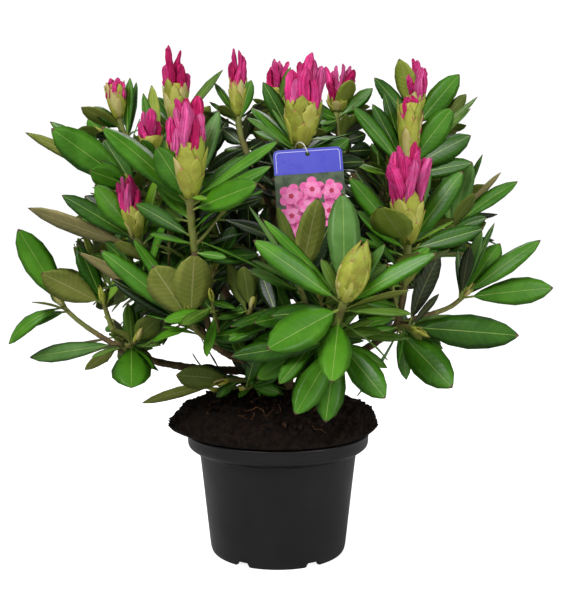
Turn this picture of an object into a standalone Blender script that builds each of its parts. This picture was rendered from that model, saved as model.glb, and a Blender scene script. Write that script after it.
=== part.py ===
# Potted rhododendron in bud: a nursery pot and its peat, a short trunk, boughs, and masses
# of foliage with flower buds. Metres, +Z up, the origin at the centre of the pot's underside.
# The front is -Y. A heading is a clock angle and a lean: the clock is counted from +X
# towards +Z, as seen from the front, and the lean is towards the front, both in degrees.

import math
import random

import bmesh
import bpy
from mathutils import Matrix, Vector, noise
from mathutils.bvhtree import BVHTree

MM = 0.001
GAP = 0.3 * MM  # between pieces that touch

# Pot
POT_HEIGHT = 0.138
RIM_RADIUS = 0.105
COLLAR_HEIGHT = 0.0215  # the flared band under the rim
BODY_TOP_RADIUS = 0.0905
BODY_FOOT_RADIUS = 0.078
FOOT_ROUNDING = 0.006
WALL = 0.0018
FLOOR = 0.0025
NOTCHES = 6  # cut in the lower edge, between the feet
NOTCH_HEIGHT = 0.005
POT_SIDES = 28

# Peat
MOUND_TOP = 0.172  # flat where the trunk stands
MOUND_LIP = 0.160
SPILL = 0.014  # how far the peat hangs out over the rim on the left
PEAT_SIDES = 24

# Trunk and limbs
TRUNK_FOOT = Vector((0.002, 0.006, MOUND_TOP + GAP))
TRUNK_HEAD = Vector((0.005, 0.0, 0.207))
FLARE_RADIUS = 0.022
TRUNK_RADIUS = 0.0130
HEAD_RADIUS = 0.0155
BOUGH_RADIUS = 0.0048
BOUGH_TIP_RADIUS = 0.0036
BOUGH_PIECES = 5
STEM_LENGTH = 0.014
TWIG_RADIUS = 0.0031
TWIG_TIP_RADIUS = 0.0023
TWIG_PIECES = 4

# Leaves
LEAF_LENGTH = 0.092
LEAF_WIDTH_SHARE = 0.39
PETIOLE_SHARE = 0.14
PETIOLE_RADIUS = 0.0012
LEAF_THICKNESS_SHARE = 0.013
LEAF_STEP = 0.0023  # along the shoot, from one leaf to the next
GOLDEN_ANGLE = math.radians(137.5)
SHOWN_TRIES = 12
FILL_TRIES = 12
FILL_ROUNDS = 3
OLDER_LEAVES = 2  # in the whorl of the year before, lower on the twig
OLDER_DROP = 0.088
LEAST_TILT = 32  # degrees from the shoot, so that leaves stay off its bud
SEED = 11

# Label
CARD_WIDTH = 0.072
CARD_HEIGHT = 0.112
CARD_THICKNESS = 0.0009
CARD_CORNER = 0.006
CARD_HOLE_RADIUS = 0.0025
CARD_HOLE_DROP = 0.006  # below the top edge
CARD_TOP = Vector((0.031, -0.084, 0.4545))
CARD_SWING = 4.0  # degrees, seen from the front
CARD_TILT = -14.0  # degrees, its foot towards the front
TIE_RADIUS = 0.0006


def shoot(tip, axis, bud, leaves, shown=(), length=LEAF_LENGTH):
    """One shoot: the point where its bud sits, its heading, its bud, how many leaves it
    carries, and the headings and lengths in mm of the leaves that the front shows. A fourth
    value of -1 shows a leaf's underside."""
    return {
        "tip": Vector(tip),
        "axis": heading(*axis),
        "bud": bud,
        "leaves": leaves,
        "shown": shown,
        "length": length,
    }


def bud(length, width, cup, spread=0.0, petals=5):
    """A flower bud, in mm: cup is the share that its green scales cover, spread is the
    angle in degrees at which the outer petals lean out."""
    return {"length": length * MM, "width": width * MM, "cup": cup, "spread": spread, "petals": petals}


def heading(clock, lean):
    c = math.radians(clock)
    l = math.radians(lean)
    return Vector((math.cos(l) * math.cos(c), -math.sin(l), math.cos(l) * math.sin(c)))


def bearing(around, rise):
    """A direction by its bearing in the plane from +X towards +Y, and its rise."""
    a = math.radians(around)
    r = math.radians(rise)
    return Vector((math.cos(r) * math.cos(a), math.cos(r) * math.sin(a), math.sin(r)))


LEAF_BUD = bud(17, 7, 1.0, petals=0)

# Each mass: the fork where its shoots part, the way its bough leaves the trunk, and its shoots.
MASSES = {
    "left_low": {
        "fork": (-0.160, -0.055, 0.236),
        "leaves_trunk": (192, 2),
        "shoots": [
            shoot((-0.240, -0.030, 0.286), (125, 10), LEAF_BUD, 7,
                  ((120, 10, 86), (225, 14, 78), (196, 15, 62), (330, 55, 50)), 0.075),
            shoot((-0.188, -0.060, 0.292), (100, 15), LEAF_BUD, 7,
                  ((105, 40, 70), (155, 40, 85), (60, 45, 60)), 0.08),
            shoot((-0.182, -0.015, 0.262), (150, -20), LEAF_BUD, 7,
                  ((182, 0, 110), (165, -30, 90)), 0.08),
            shoot((-0.152, -0.072, 0.252), (60, 25), LEAF_BUD, 6,
                  ((318, 55, 84), (62, 30, 60), (95, 10, 70)), 0.078),
        ],
    },
    "left_top": {
        "fork": (-0.108, 0.010, 0.385),
        "leaves_trunk": (165, 50),
        "shoots": [
            shoot((-0.184, 0.020, 0.500), (95, 5), bud(45, 24, 0.78, 4, 4), 7,
                  ((172, 5, 46), (150, 15, 52), (45, -20, 55)), 0.062),
            shoot((-0.160, -0.045, 0.418), (125, 5), LEAF_BUD, 7,
                  ((149, 16, 112), (160, -14, 118), (147, -32, 108), (232, 20, 70))),
            shoot((-0.122, 0.050, 0.497), (88, 0), bud(86, 32, 0.5, 10), 8,
                  ((95, 0, 45), (55, -10, 60), (132, 10, 66)), 0.075),
            shoot((-0.138, -0.030, 0.460), (96, 10), bud(44, 27, 0.3, 8), 8,
                  ((110, -25, 72), (60, -20, 62), (200, 20, 60))),
        ],
    },
    "left_front": {
        "fork": (-0.060, -0.082, 0.243),
        "leaves_trunk": (236, 20),
        "shoots": [
            shoot((-0.087, -0.130, 0.406), (92, 8), bud(98, 40, 0.52, 6, 6), 11,
                  ((136, 12, 112), (121, 45, 88), (76, -28, 92), (33, 8, 104), (28, 38, 92),
                   (40, -45, 85), (150, 5, 60))),
            shoot((-0.146, -0.095, 0.366), (98, 12), bud(66, 25, 0.45, 5), 9,
                  ((130, 25, 74), (158, 12, 90), (146, -15, 84), (170, 20, 62), (35, 45, 70))),
            shoot((-0.088, -0.128, 0.280), (105, 20), LEAF_BUD, 8,
                  ((86, 32, 84, -1), (118, 40, 80, -1), (148, 22, 104), (30, 10, 60))),
            shoot((-0.026, -0.110, 0.292), (80, 10), LEAF_BUD, 6,
                  ((165, 25, 66), (60, 40, 70), (215, 35, 70)), 0.08),
        ],
    },
    "front": {
        "fork": (0.046, -0.118, 0.240),
        "leaves_trunk": (282, 8),
        "shoots": [
            shoot((0.064, -0.200, 0.308), (72, 12), bud(53, 31, 1.0, petals=0), 12,
                  ((145, 22, 100), (136, -15, 96), (217, 38, 96), (264, 42, 88), (25, 22, 92),
                   (7, -35, 78), (92, -28, 96), (66, -35, 58))),
            shoot((0.022, -0.150, 0.322), (95, 5), LEAF_BUD, 7,
                  ((96, 40, 70, -1), (125, 0, 62), (160, -10, 62))),
            shoot((0.062, -0.172, 0.262), (300, 50), LEAF_BUD, 7,
                  ((230, 40, 84), (256, 52, 80), (315, 42, 82), (190, 15, 92), (352, 40, 50))),
        ],
    },
    "right_low": {
        "fork": (0.116, -0.112, 0.266),
        "leaves_trunk": (322, 8),
        "shoots": [
            shoot((0.132, -0.120, 0.360), (92, 10), bud(100, 36, 0.48, 22, 6), 10,
                  ((140, 58, 86), (128, 25, 82), (56, -25, 96), (20, 18, 96), (72, -40, 85))),
            shoot((0.206, -0.040, 0.298), (50, 5), LEAF_BUD, 8,
                  ((2, 12, 98), (33, 18, 100), (58, -30, 88), (92, 30, 74))),
            shoot((0.136, -0.142, 0.272), (335, 30), LEAF_BUD, 6,
                  ((356, 8, 118), (330, 28, 84), (212, 40, 70))),
        ],
    },
    "right_mid": {
        "fork": (0.120, 0.010, 0.280),
        "leaves_trunk": (2, 16),
        "shoots": [
            shoot((0.204, 0.015, 0.376), (48, 5), LEAF_BUD, 10,
                  ((36, 15, 96), (14, -20, 80), (60, -20, 80), (28, -30, 84), (80, 10, 80))),
            shoot((0.070, -0.020, 0.340), (80, 5), LEAF_BUD, 8),
        ],
    },
    "right_top": {
        "fork": (0.102, 0.045, 0.370),
        "leaves_trunk": (20, 48),
        "shoots": [
            shoot((0.148, 0.000, 0.446), (90, 5), bud(76, 29, 0.85, 3, 5), 10,
                  ((28, 10, 88), (50, 12, 92), (136, 18, 80), (118, 0, 76), (100, -10, 78)), 0.08),
            shoot((0.168, 0.080, 0.512), (96, 0), bud(58, 25, 0.35, 10), 8,
                  ((60, 15, 62), (36, 8, 84), (128, -5, 66), (12, -10, 80)), 0.075),
            shoot((0.073, 0.120, 0.520), (82, 0), bud(50, 30, 0.3, 24, 4), 8,
                  ((20, 15, 66), (48, 25, 48), (150, 0, 66)), 0.065),
        ],
    },
    "centre_top": {
        "fork": (-0.002, -0.005, 0.365),
        "leaves_trunk": (270, 84),
        "shoots": [
            shoot((0.024, -0.050, 0.462), (85, 5), bud(98, 42, 0.46, 6, 7), 10,
                  ((125, -12, 76), (150, 8, 78), (146, -35, 70), (38, -8, 80), (30, 20, 62))),
            shoot((-0.047, 0.040, 0.504), (90, 0), bud(76, 22, 0.5, 4, 5), 8,
                  ((128, 10, 60), (152, 0, 58), (45, 10, 56), (168, 20, 70)), 0.065),
            shoot((-0.002, 0.110, 0.528), (86, 0), bud(46, 25, 0.35, 12, 5), 7,
                  ((25, 10, 56), (150, 10, 56)), 0.062),
        ],
    },
    "back_left": {
        "fork": (-0.098, 0.100, 0.290),
        "leaves_trunk": (138, 14),
        "shoots": [
            shoot((-0.205, 0.110, 0.405), (118, -25), bud(60, 28, 0.6, 8, 4), 8),
            shoot((-0.110, 0.175, 0.452), (98, -20), bud(72, 30, 0.5, 10, 4), 8),
            shoot((-0.225, 0.090, 0.300), (160, -25), LEAF_BUD, 8),
        ],
    },
    "back_mid": {
        "fork": (0.008, 0.132, 0.320),
        "leaves_trunk": (92, 32),
        "shoots": [
            shoot((0.020, 0.205, 0.455), (90, -22), bud(70, 30, 0.5, 8, 4), 9),
            shoot((-0.080, 0.225, 0.335), (125, -50), LEAF_BUD, 8),
            shoot((0.060, 0.245, 0.335), (65, -55), bud(50, 26, 1.0, petals=0), 8),
        ],
    },
    "back_right": {
        "fork": (0.108, 0.112, 0.280),
        "leaves_trunk": (48, 12),
        "shoots": [
            shoot((0.150, 0.175, 0.430), (75, -25), bud(68, 30, 0.55, 9, 4), 8),
            shoot((0.215, 0.120, 0.385), (40, -20), LEAF_BUD, 8),
            shoot((0.160, 0.200, 0.300), (40, -50), LEAF_BUD, 7),
        ],
    },
    "low_left": {
        "fork": None,
        "leaves_trunk": (222, -20),
        "shoots": [
            shoot((-0.056, -0.060, 0.206), (190, 35), LEAF_BUD, 4,
                  ((186, 30, 72), (200, 20, 62), (160, 10, 50)), 0.06),
        ],
    },
}

GREEN = (0.05, 0.16, 0.03, 1.0)
BARK = (0.12, 0.09, 0.05, 1.0)
PEAT = (0.03, 0.02, 0.015, 1.0)
BLACK = (0.02, 0.02, 0.02, 1.0)
BLUE = (0.09, 0.10, 0.60, 1.0)
WHITE = (0.85, 0.85, 0.82, 1.0)


def material(name, colour, roughness):
    made = bpy.data.materials.new(name)
    made.use_nodes = True
    shader = made.node_tree.nodes["Principled BSDF"]
    shader.inputs["Base Color"].default_value = colour
    shader.inputs["Roughness"].default_value = roughness
    shader.inputs["Metallic"].default_value = 0.0
    return made


def clear_scene():
    for obj in list(bpy.data.objects):
        bpy.data.objects.remove(obj)


def collection(name):
    made = bpy.data.collections.new(name)
    bpy.context.scene.collection.children.link(made)
    return made


def add_object(name, data, where, finish=None):
    obj = bpy.data.objects.new(name, data)
    where.objects.link(obj)
    if finish:
        data.materials.append(finish)
    return obj


def mesh_of(obj):
    """The object's evaluated mesh, with modifiers applied and doubled points merged."""
    bpy.context.view_layer.update()
    graph = bpy.context.evaluated_depsgraph_get()
    mesh = bpy.data.meshes.new_from_object(obj.evaluated_get(graph))
    shape = bmesh.new()
    shape.from_mesh(mesh)
    bmesh.ops.remove_doubles(shape, verts=shape.verts, dist=1e-6)
    shape.to_mesh(mesh)
    shape.free()
    return mesh


def round_shading(mesh, angle=40):
    mesh.shade_smooth()
    mesh.set_sharp_from_angle(angle=math.radians(angle))


def turned(name, profile, sides, where):
    """A profile of (radius, height) points, down its outer side, turned about Z."""
    mesh = bpy.data.meshes.new(name)
    points = [(r, 0, z) for r, z in profile]
    mesh.from_pydata(points, [(i, i + 1) for i in range(len(points) - 1)], [])
    obj = add_object(name, mesh, where)
    screw = obj.modifiers.new("turn", "SCREW")
    screw.steps = sides
    screw.render_steps = sides
    screw.use_merge_vertices = True
    screw.merge_threshold = 0.00005
    return obj


def hermite(start, start_way, end, end_way, share):
    """The point at share of a smooth curve that leaves start and meets end in those ways."""
    t = share
    return (
        (2 * t**3 - 3 * t**2 + 1) * start
        + (t**3 - 2 * t**2 + t) * start_way
        + (3 * t**2 - 2 * t**3) * end
        + (t**3 - t**2) * end_way
    )


def limb_path(start, start_way, end, end_way, pieces):
    """Points of a limb between two points, with the directions that it has at them."""
    reach = (end - start).length
    return [
        hermite(start, start_way * reach, end, end_way * reach * 0.8, i / pieces)
        for i in range(pieces + 1)
    ]


def tube(name, points, radii, where, resolution=0, cyclic=False):
    """A tapering limb: a curve object through the points, with filled caps."""
    curve = bpy.data.curves.new(name, "CURVE")
    curve.dimensions = "3D"
    curve.bevel_depth = 1.0
    curve.bevel_resolution = resolution
    curve.use_fill_caps = not cyclic
    spline = curve.splines.new("POLY")
    spline.points.add(len(points) - 1)
    for point, place, radius in zip(spline.points, points, radii):
        point.co = (*place, 1)
        point.radius = radius
    spline.use_cyclic_u = cyclic
    return add_object(name, curve, where)


def as_mesh(obj, where):
    """The same shape as a mesh object, in place of the curve."""
    mesh = mesh_of(obj)
    made = bpy.data.objects.new(obj.name + "_mesh", mesh)
    made.matrix_world = obj.matrix_world
    where.objects.link(made)
    name = obj.name
    bpy.data.objects.remove(obj)
    made.name = name
    return made


def unite(obj, others):
    """Joins the objects of a collection to obj, and removes them."""
    union = obj.modifiers.new("union", "BOOLEAN")
    union.operation = "UNION"
    union.operand_type = "COLLECTION"
    union.collection = others
    union.solver = "EXACT"
    mesh = mesh_of(obj)
    obj.modifiers.clear()
    obj.data = mesh
    for other in list(others.objects):
        bpy.data.objects.remove(other)
    bpy.data.collections.remove(others)


def tree_of(mesh):
    """A search tree of the mesh's faces, to test overlaps with."""
    points = [v.co.copy() for v in mesh.vertices]
    return BVHTree.FromPolygons(points, [tuple(p.vertices) for p in mesh.polygons])


# Leaves: spheres of three meridians. The first ring lies in the shoot, the second ends the
# petiole, and the others are the blade's, whose keel is its underside. A ring is its share
# of the length, and its share of the width. The fill's leaves have a ring less.

SHOWN_RINGS = ((0.0, None), (PETIOLE_SHARE, None), (0.46, 1.0), (0.80, 0.74))
FILL_RINGS = ((0.0, None), (PETIOLE_SHARE, None), (0.58, 1.0))


def leaf_line(leaf, share):
    """The leaf's centre line and its upward normal at a share of its length. The line bends
    down by the leaf's curl, in radians, over its whole length."""
    curl = leaf["curl"] if abs(leaf["curl"]) > 1e-4 else 1e-4
    turned_by = curl * share
    along = math.sin(turned_by) / curl
    down = (1 - math.cos(turned_by)) / curl
    way = leaf["way"]
    up = leaf["up"]
    place = leaf["root"] + leaf["length"] * (along * way - down * up)
    return place, math.cos(turned_by) * up + math.sin(turned_by) * way


def leaf_vertices(leaf, grown=0.0):
    """Rings of left edge, right edge and keel, between the sunk root and the tip."""
    side = leaf["way"].cross(leaf["up"])
    points = [leaf["root"] - leaf["way"] * 0.0008]
    for share, width_share in leaf["rings"]:
        place, up = leaf_line(leaf, share)
        if width_share is None:
            half = PETIOLE_RADIUS
            keel = -PETIOLE_RADIUS
            lift = PETIOLE_RADIUS * 0.7
        else:
            half = leaf["width"] / 2 * width_share
            keel = -leaf["length"] * LEAF_THICKNESS_SHARE
            lift = half * leaf["fold"]
        half += grown
        points += [place + side * half + up * lift, place - side * half + up * lift]
        points += [place + up * (keel - grown)]
    points.append(leaf_line(leaf, 1.0)[0])
    return points


def leaf_faces(leaf):
    """Faces of the rings, in leaf_vertices' order."""
    last = 1 + 3 * len(leaf["rings"])
    faces = []
    for i in range(3):
        after = (i + 1) % 3
        faces.append((0, 1 + after, 1 + i))
        faces.append((last, last - 3 + i, last - 3 + after))
        for ring in range(len(leaf["rings"]) - 1):
            low = 1 + 3 * ring
            high = low + 3
            faces.append((low + i, low + after, high + after, high + i))
    return faces


def leaf_trees(leaf, grown=0.0009):
    """Search trees of the leaf, grown a little, and of its blade alone."""
    points = leaf_vertices(leaf, grown)
    faces = [f for f in leaf_faces(leaf) if min(f) > 0]
    blade = [f for f in faces if min(f) > 3]
    return BVHTree.FromPolygons(points, faces), BVHTree.FromPolygons(points, blade)


def leaf_object(name, leaf, where):
    """The leaf as a mesh object: a low sphere primitive whose points go to the leaf's."""
    shape = bmesh.new()
    bmesh.ops.create_uvsphere(shape, u_segments=3, v_segments=len(leaf["rings"]) + 1, radius=1)
    places = leaf_vertices(leaf)
    rings = sorted({round(v.co.z, 4) for v in shape.verts}, reverse=True)
    for vertex in shape.verts:
        ring = rings.index(round(vertex.co.z, 4))
        turn = round(math.atan2(vertex.co.y, vertex.co.x) / (2 * math.pi / 3)) % 3
        index = 0 if ring == 0 else len(places) - 1 if ring == len(rings) - 1 else 3 * ring - 2 + turn
        vertex.co = places[index]
    bmesh.ops.recalc_face_normals(shape, faces=shape.faces)
    if shape.calc_volume(signed=True) < 0:
        bmesh.ops.reverse_faces(shape, faces=shape.faces)
    mesh = bpy.data.meshes.new(name)
    shape.to_mesh(mesh)
    shape.free()
    return add_object(name, mesh, where)


def spindle(name, foot, way, length, radii, sides, where, flat=1.0, side_way=None):
    """A closed body of round sections about a line: radii are those of its rings."""
    shape = bmesh.new()
    bmesh.ops.create_uvsphere(shape, u_segments=sides, v_segments=len(radii) + 1, radius=1)
    rings = sorted({round(v.co.z, 4) for v in shape.verts})
    across = (side_way or way.orthogonal()).normalized()
    across = (across - way * across.dot(way)).normalized()
    other = way.cross(across)
    for vertex in shape.verts:
        ring = rings.index(round(vertex.co.z, 4))
        share = ring / (len(rings) - 1)
        radius = 0.0 if ring in (0, len(rings) - 1) else radii[ring - 1]
        turn = math.atan2(vertex.co.y, vertex.co.x)
        vertex.co = (
            foot
            + way * length * share
            + across * radius * math.cos(turn)
            + other * radius * flat * math.sin(turn)
        )
    bmesh.ops.recalc_face_normals(shape, faces=shape.faces)
    if shape.calc_volume(signed=True) < 0:
        bmesh.ops.reverse_faces(shape, faces=shape.faces)
    mesh = bpy.data.meshes.new(name)
    shape.to_mesh(mesh)
    shape.free()
    return add_object(name, mesh, where)


def bud_objects(name, one, where):
    """A shoot's bud: the cup of green scales, and the petals that stand out of it."""
    size = one["bud"]
    way = one["axis"]
    foot = one["tip"] - way * 0.004
    half = size["width"] / 2
    cup_length = size["length"] * size["cup"] + 0.004
    if size is LEAF_BUD:
        radii = [half * r for r in (0.8, 0.9)]
    elif size["cup"] >= 0.95:
        radii = [half * r for r in (0.55, 0.95, 0.92, 0.50)]
    else:
        radii = [half * r for r in (0.62, 1.0, 0.90)]
    sides = 4 if size is LEAF_BUD else 6
    made = [spindle(name + "_cup", foot, way, cup_length * 1.1, radii, sides, where)]
    across = way.orthogonal().normalized()
    for i in range(size["petals"]):
        turn = Matrix.Rotation(2 * math.pi * i / max(size["petals"] - 1, 1), 3, way)
        out = turn @ across
        middle = i == size["petals"] - 1
        lean = 0.0 if middle else math.radians(size["spread"])
        petal_way = (way * math.cos(lean) + out * math.sin(lean)).normalized()
        root = foot + way * cup_length * 0.45 + out * half * (0.0 if middle else 0.48)
        reach = (size["length"] - cup_length * 0.45) * (1.0 if middle or i % 2 else 0.9)
        radii = [half * r for r in (0.46, 0.40)]
        made.append(spindle(f"{name}_petal_{i}", root, petal_way, reach, radii, 3, where))
    return made


# Growth: the leaves that the front shows come first, then each shoot is filled by the
# golden angle. A leaf that would touch a limb, a bud or another leaf is turned aside or
# skipped, so that each mass keeps to its own space.


def leaf_at(one, drop, way, length, rng, shown=0):
    """A leaf of a shoot, by its distance down the shoot and its direction. It looks along
    the shoot and outward; one that the front shows looks to the front, or away from it."""
    root = down_shoot(one, drop)
    if shown:
        facing = one["axis"] * 0.3 + Vector((0, -0.85 * shown, 0.15))
        roll = 12
        curl = rng.uniform(0.05, 0.35)
    else:
        outward = Vector((one["tip"].x, one["tip"].y, 0)).normalized()
        facing = one["axis"] * 0.7 + outward * 0.42 + Vector((0, 0, 0.15))
        roll = 24
        curl = rng.uniform(0.05, 0.5)
    up = facing - way * facing.dot(way)
    up = (up if up.length > 0.05 else way.orthogonal()).normalized()
    up = Matrix.Rotation(math.radians(rng.uniform(-roll, roll)), 3, way) @ up
    lifted = Matrix.Rotation(curl / 2, 3, way.cross(up))
    return {
        "shoot": one,
        "root": root,
        "way": lifted @ way,
        "up": lifted @ up,
        "length": length,
        "width": length * LEAF_WIDTH_SHARE * rng.uniform(0.92, 1.10),
        "curl": curl,
        "fold": rng.uniform(0.02, 0.16),
        "rings": SHOWN_RINGS if shown else FILL_RINGS,
    }


def down_shoot(one, distance):
    """The point of the shoot's twig at a distance down from its tip."""
    path = one["path"]
    for upper, lower in zip(reversed(path), reversed(path[:-1])):
        piece = (upper - lower).length
        if distance <= piece:
            return upper.lerp(lower, distance / piece)
        distance -= piece
    return path[0]


def turned_aside(leaf, rng, most):
    """The same leaf, turned about its root by up to that many degrees each way."""
    spin = Matrix.Rotation(math.radians(rng.uniform(-most, most)), 3, leaf["up"])
    nod = Matrix.Rotation(
        math.radians(rng.uniform(-most, most)), 3, leaf["way"].cross(leaf["up"]).normalized()
    )
    roll = Matrix.Rotation(math.radians(rng.uniform(-most, most)), 3, leaf["way"])
    moved = dict(leaf)
    moved["way"] = (nod @ spin @ leaf["way"]).normalized()
    up = roll @ nod @ spin @ leaf["up"]
    moved["up"] = (up - moved["way"] * up.dot(moved["way"])).normalized()
    return moved


# What stands in a leaf's way is a tuple: its middle, its reach, its search tree, its blade's
# search tree, and the shoot that it grows on. Leaves of a shoot meet at their petioles, so
# between them only the blades count.


def obstacle(centre, reach, tree):
    return centre, reach, tree, tree, None


def settle(leaf, taken, rng, tries, most):
    """The leaf where nothing is in its way, and what it adds to taken; or None."""
    candidate = leaf
    for attempt in range(tries):
        whole, blade = leaf_trees(candidate)
        centre = leaf_line(candidate, 0.5)[0]
        free = True
        for at, reach, other, other_blade, shoot_of in taken:
            if (at - centre).length > reach + leaf["length"] * 0.6:
                continue
            met = blade.overlap(other_blade) if shoot_of is leaf["shoot"] else whole.overlap(other)
            if met:
                free = False
                break
        if free:
            entry = (centre, candidate["length"] * 0.6, whole, blade, leaf["shoot"])
            return candidate, entry
        candidate = turned_aside(leaf, rng, most * (attempt + 1) / tries)
        candidate["length"] = leaf["length"] * (1 - 0.35 * (attempt + 1) / tries)
        candidate["width"] = leaf["width"] * (1 - 0.30 * (attempt + 1) / tries)
    return None


def path_length(one):
    return sum((b - a).length for a, b in zip(one["path"], one["path"][1:]))


def shoot_obstacles(limbs, mass, index):
    """Search trees of every limb and bud but the shoot's own."""
    return [entry for key, entry in limbs.items() if key[:2] not in ((mass, index), (mass, "stem"))]


def off_the_bud(one, way):
    """The direction, leant away from the shoot's own where it would enter its bud."""
    least = math.radians(LEAST_TILT)
    tilt = way.angle(one["axis"])
    if tilt >= least:
        return way
    side = one["axis"].cross(way)
    side = side if side.length > 0.01 else one["axis"].orthogonal()
    return Matrix.Rotation(least - tilt, 3, side.normalized()) @ way


def shown_leaves(one, taken, rng):
    """The leaves of a shoot that the front shows, the steepest at the top."""
    leaves = []
    order = sorted(one["shown"], key=lambda s: heading(s[0], s[1]).angle(one["axis"]))
    for place, (clock, lean, length, *side) in enumerate(order):
        way = off_the_bud(one, heading(clock, lean))
        drop = 0.005 + LEAF_STEP * place
        leaf = leaf_at(one, drop, way, length * MM, rng, side[0] if side else 1)
        found = settle(leaf, taken, rng, SHOWN_TRIES, 16)
        if found:
            leaves.append(found[0])
            taken.append(found[1])
    return leaves


def whorl(one, leaves, most, drops, tilts, taken, rng):
    """Fills a shoot up to most leaves by the golden angle, between two distances down from
    its tip, with tilts from the shoot's own direction, in degrees."""
    start = rng.uniform(0, 2 * math.pi)
    rounds = FILL_ROUNDS * max(most - len(leaves), 0)
    for k in range(rounds):
        if len(leaves) >= most:
            break
        share = k / rounds
        drop = min(drops[0] + (drops[1] - drops[0]) * share, path_length(one) - 0.006)
        axis = (down_shoot(one, drop - 0.004) - down_shoot(one, drop + 0.004)).normalized()
        out = Matrix.Rotation(start + GOLDEN_ANGLE * k, 3, axis) @ axis.orthogonal().normalized()
        tilt = math.radians(tilts[0] + (tilts[1] - tilts[0]) * share + rng.uniform(-8, 8))
        way = axis * math.cos(tilt) + out * math.sin(tilt)
        if any(way.angle(other["way"]) < math.radians(30) for other in leaves):
            continue
        leaf = leaf_at(one, drop, way, one["length"] * rng.uniform(0.82, 1.1), rng)
        found = settle(leaf, taken, rng, FILL_TRIES, 26)
        if found:
            leaves.append(found[0])
            taken.append(found[1])
    return leaves


def grow_leaves(limbs, kept_clear):
    """All leaves of all masses: those that the front shows, then the fill of each tip, and
    then the whorls of the year before."""
    rng = random.Random(SEED)
    taken = []
    shoots = [(m, i, one) for m, facts in MASSES.items() for i, one in enumerate(facts["shoots"])]
    grown = {mass: [] for mass in MASSES}
    tips = {}
    for mass, index, one in shoots:
        walls = shoot_obstacles(limbs, mass, index)
        field = taken + walls
        count = len(field)
        tips[mass, index] = shown_leaves(one, field, rng)
        taken += field[count:]
        grown[mass] += tips[mass, index]
    for older in (False, True):
        for mass, index, one in shoots:
            field = taken + shoot_obstacles(limbs, mass, index) + kept_clear
            count = len(field)
            if not older:
                before = len(tips[mass, index])
                whorl(one, tips[mass, index], one["leaves"], (0.006, 0.036), (42, 104), field, rng)
                grown[mass] += tips[mass, index][before:]
            elif path_length(one) > OLDER_DROP + 0.02:
                drops = (OLDER_DROP - 0.012, OLDER_DROP + 0.012)
                grown[mass] += whorl(one, [], OLDER_LEAVES, drops, (55, 90), field, rng)
            taken += field[count:]
    return grown


# Limbs


def bough_path(facts):
    """Points of a mass's bough, from the trunk's head to the fork. A mass with no fork
    grows from the trunk itself, and has a first point and a direction only."""
    out = bearing(*facts["leaves_trunk"])
    start = TRUNK_HEAD + out * (HEAD_RADIUS + GAP)
    if facts["fork"] is None:
        return [start], out
    fork = Vector(facts["fork"])
    end_way = ((fork - start).normalized() + Vector((0, 0, 0.35))).normalized()
    points = limb_path(start, out, fork, end_way, BOUGH_PIECES)
    return points, (points[-1] - points[-2]).normalized()


def bough(name, facts, where, finish):
    points, _ = bough_path(facts)
    thinner = (BOUGH_RADIUS - BOUGH_TIP_RADIUS) / BOUGH_PIECES
    radii = [BOUGH_RADIUS - thinner * i for i in range(BOUGH_PIECES + 1)]
    obj = tube("bough_" + name, points, radii, where, resolution=1)
    obj.data.materials.append(finish)
    return obj


def mass_limbs(name, facts, where):
    """The stem that meets the bough's tip, then a twig and a bud for each shoot."""
    points, way = bough_path(facts)
    foot = points[-1] + way * (GAP if facts["fork"] else 0.0)
    top = foot + way * STEM_LENGTH
    stem = tube("stem", [foot, foot + way * STEM_LENGTH * 0.5, top],
                [BOUGH_TIP_RADIUS, BOUGH_TIP_RADIUS, TWIG_RADIUS], where, resolution=1)
    stem = as_mesh(stem, where)
    parts = {"stem": [stem]}
    for index, one in enumerate(facts["shoots"]):
        start = foot + way * STEM_LENGTH * 0.6
        chord = (one["tip"] - start).normalized()
        start_way = (chord + way * 0.5).normalized()
        one["path"] = limb_path(start, start_way, one["tip"], one["axis"], TWIG_PIECES)
        thinner = (TWIG_RADIUS - TWIG_TIP_RADIUS) / TWIG_PIECES
        radii = [TWIG_RADIUS - thinner * i for i in range(TWIG_PIECES + 1)]
        twig = as_mesh(tube(f"twig_{index}", one["path"], radii, where), where)
        parts[index] = [twig, *bud_objects(f"bud_{index}", one, where)]
    return parts


def clear_space(low, high):
    """A search tree of a box that only leaves the front shows may enter, as an obstacle."""
    shape = bmesh.new()
    bmesh.ops.create_cube(shape, size=1)
    low = Vector(low)
    high = Vector(high)
    for vertex in shape.verts:
        vertex.co = Vector(low[i] + (vertex.co[i] + 0.5) * (high[i] - low[i]) for i in range(3))
    bmesh.ops.subdivide_edges(shape, edges=shape.edges, cuts=2, use_grid_fill=True)
    shape.verts.ensure_lookup_table()
    tree = BVHTree.FromBMesh(shape)
    shape.free()
    return obstacle((low + high) / 2, (high - low).length / 2, tree)


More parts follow.
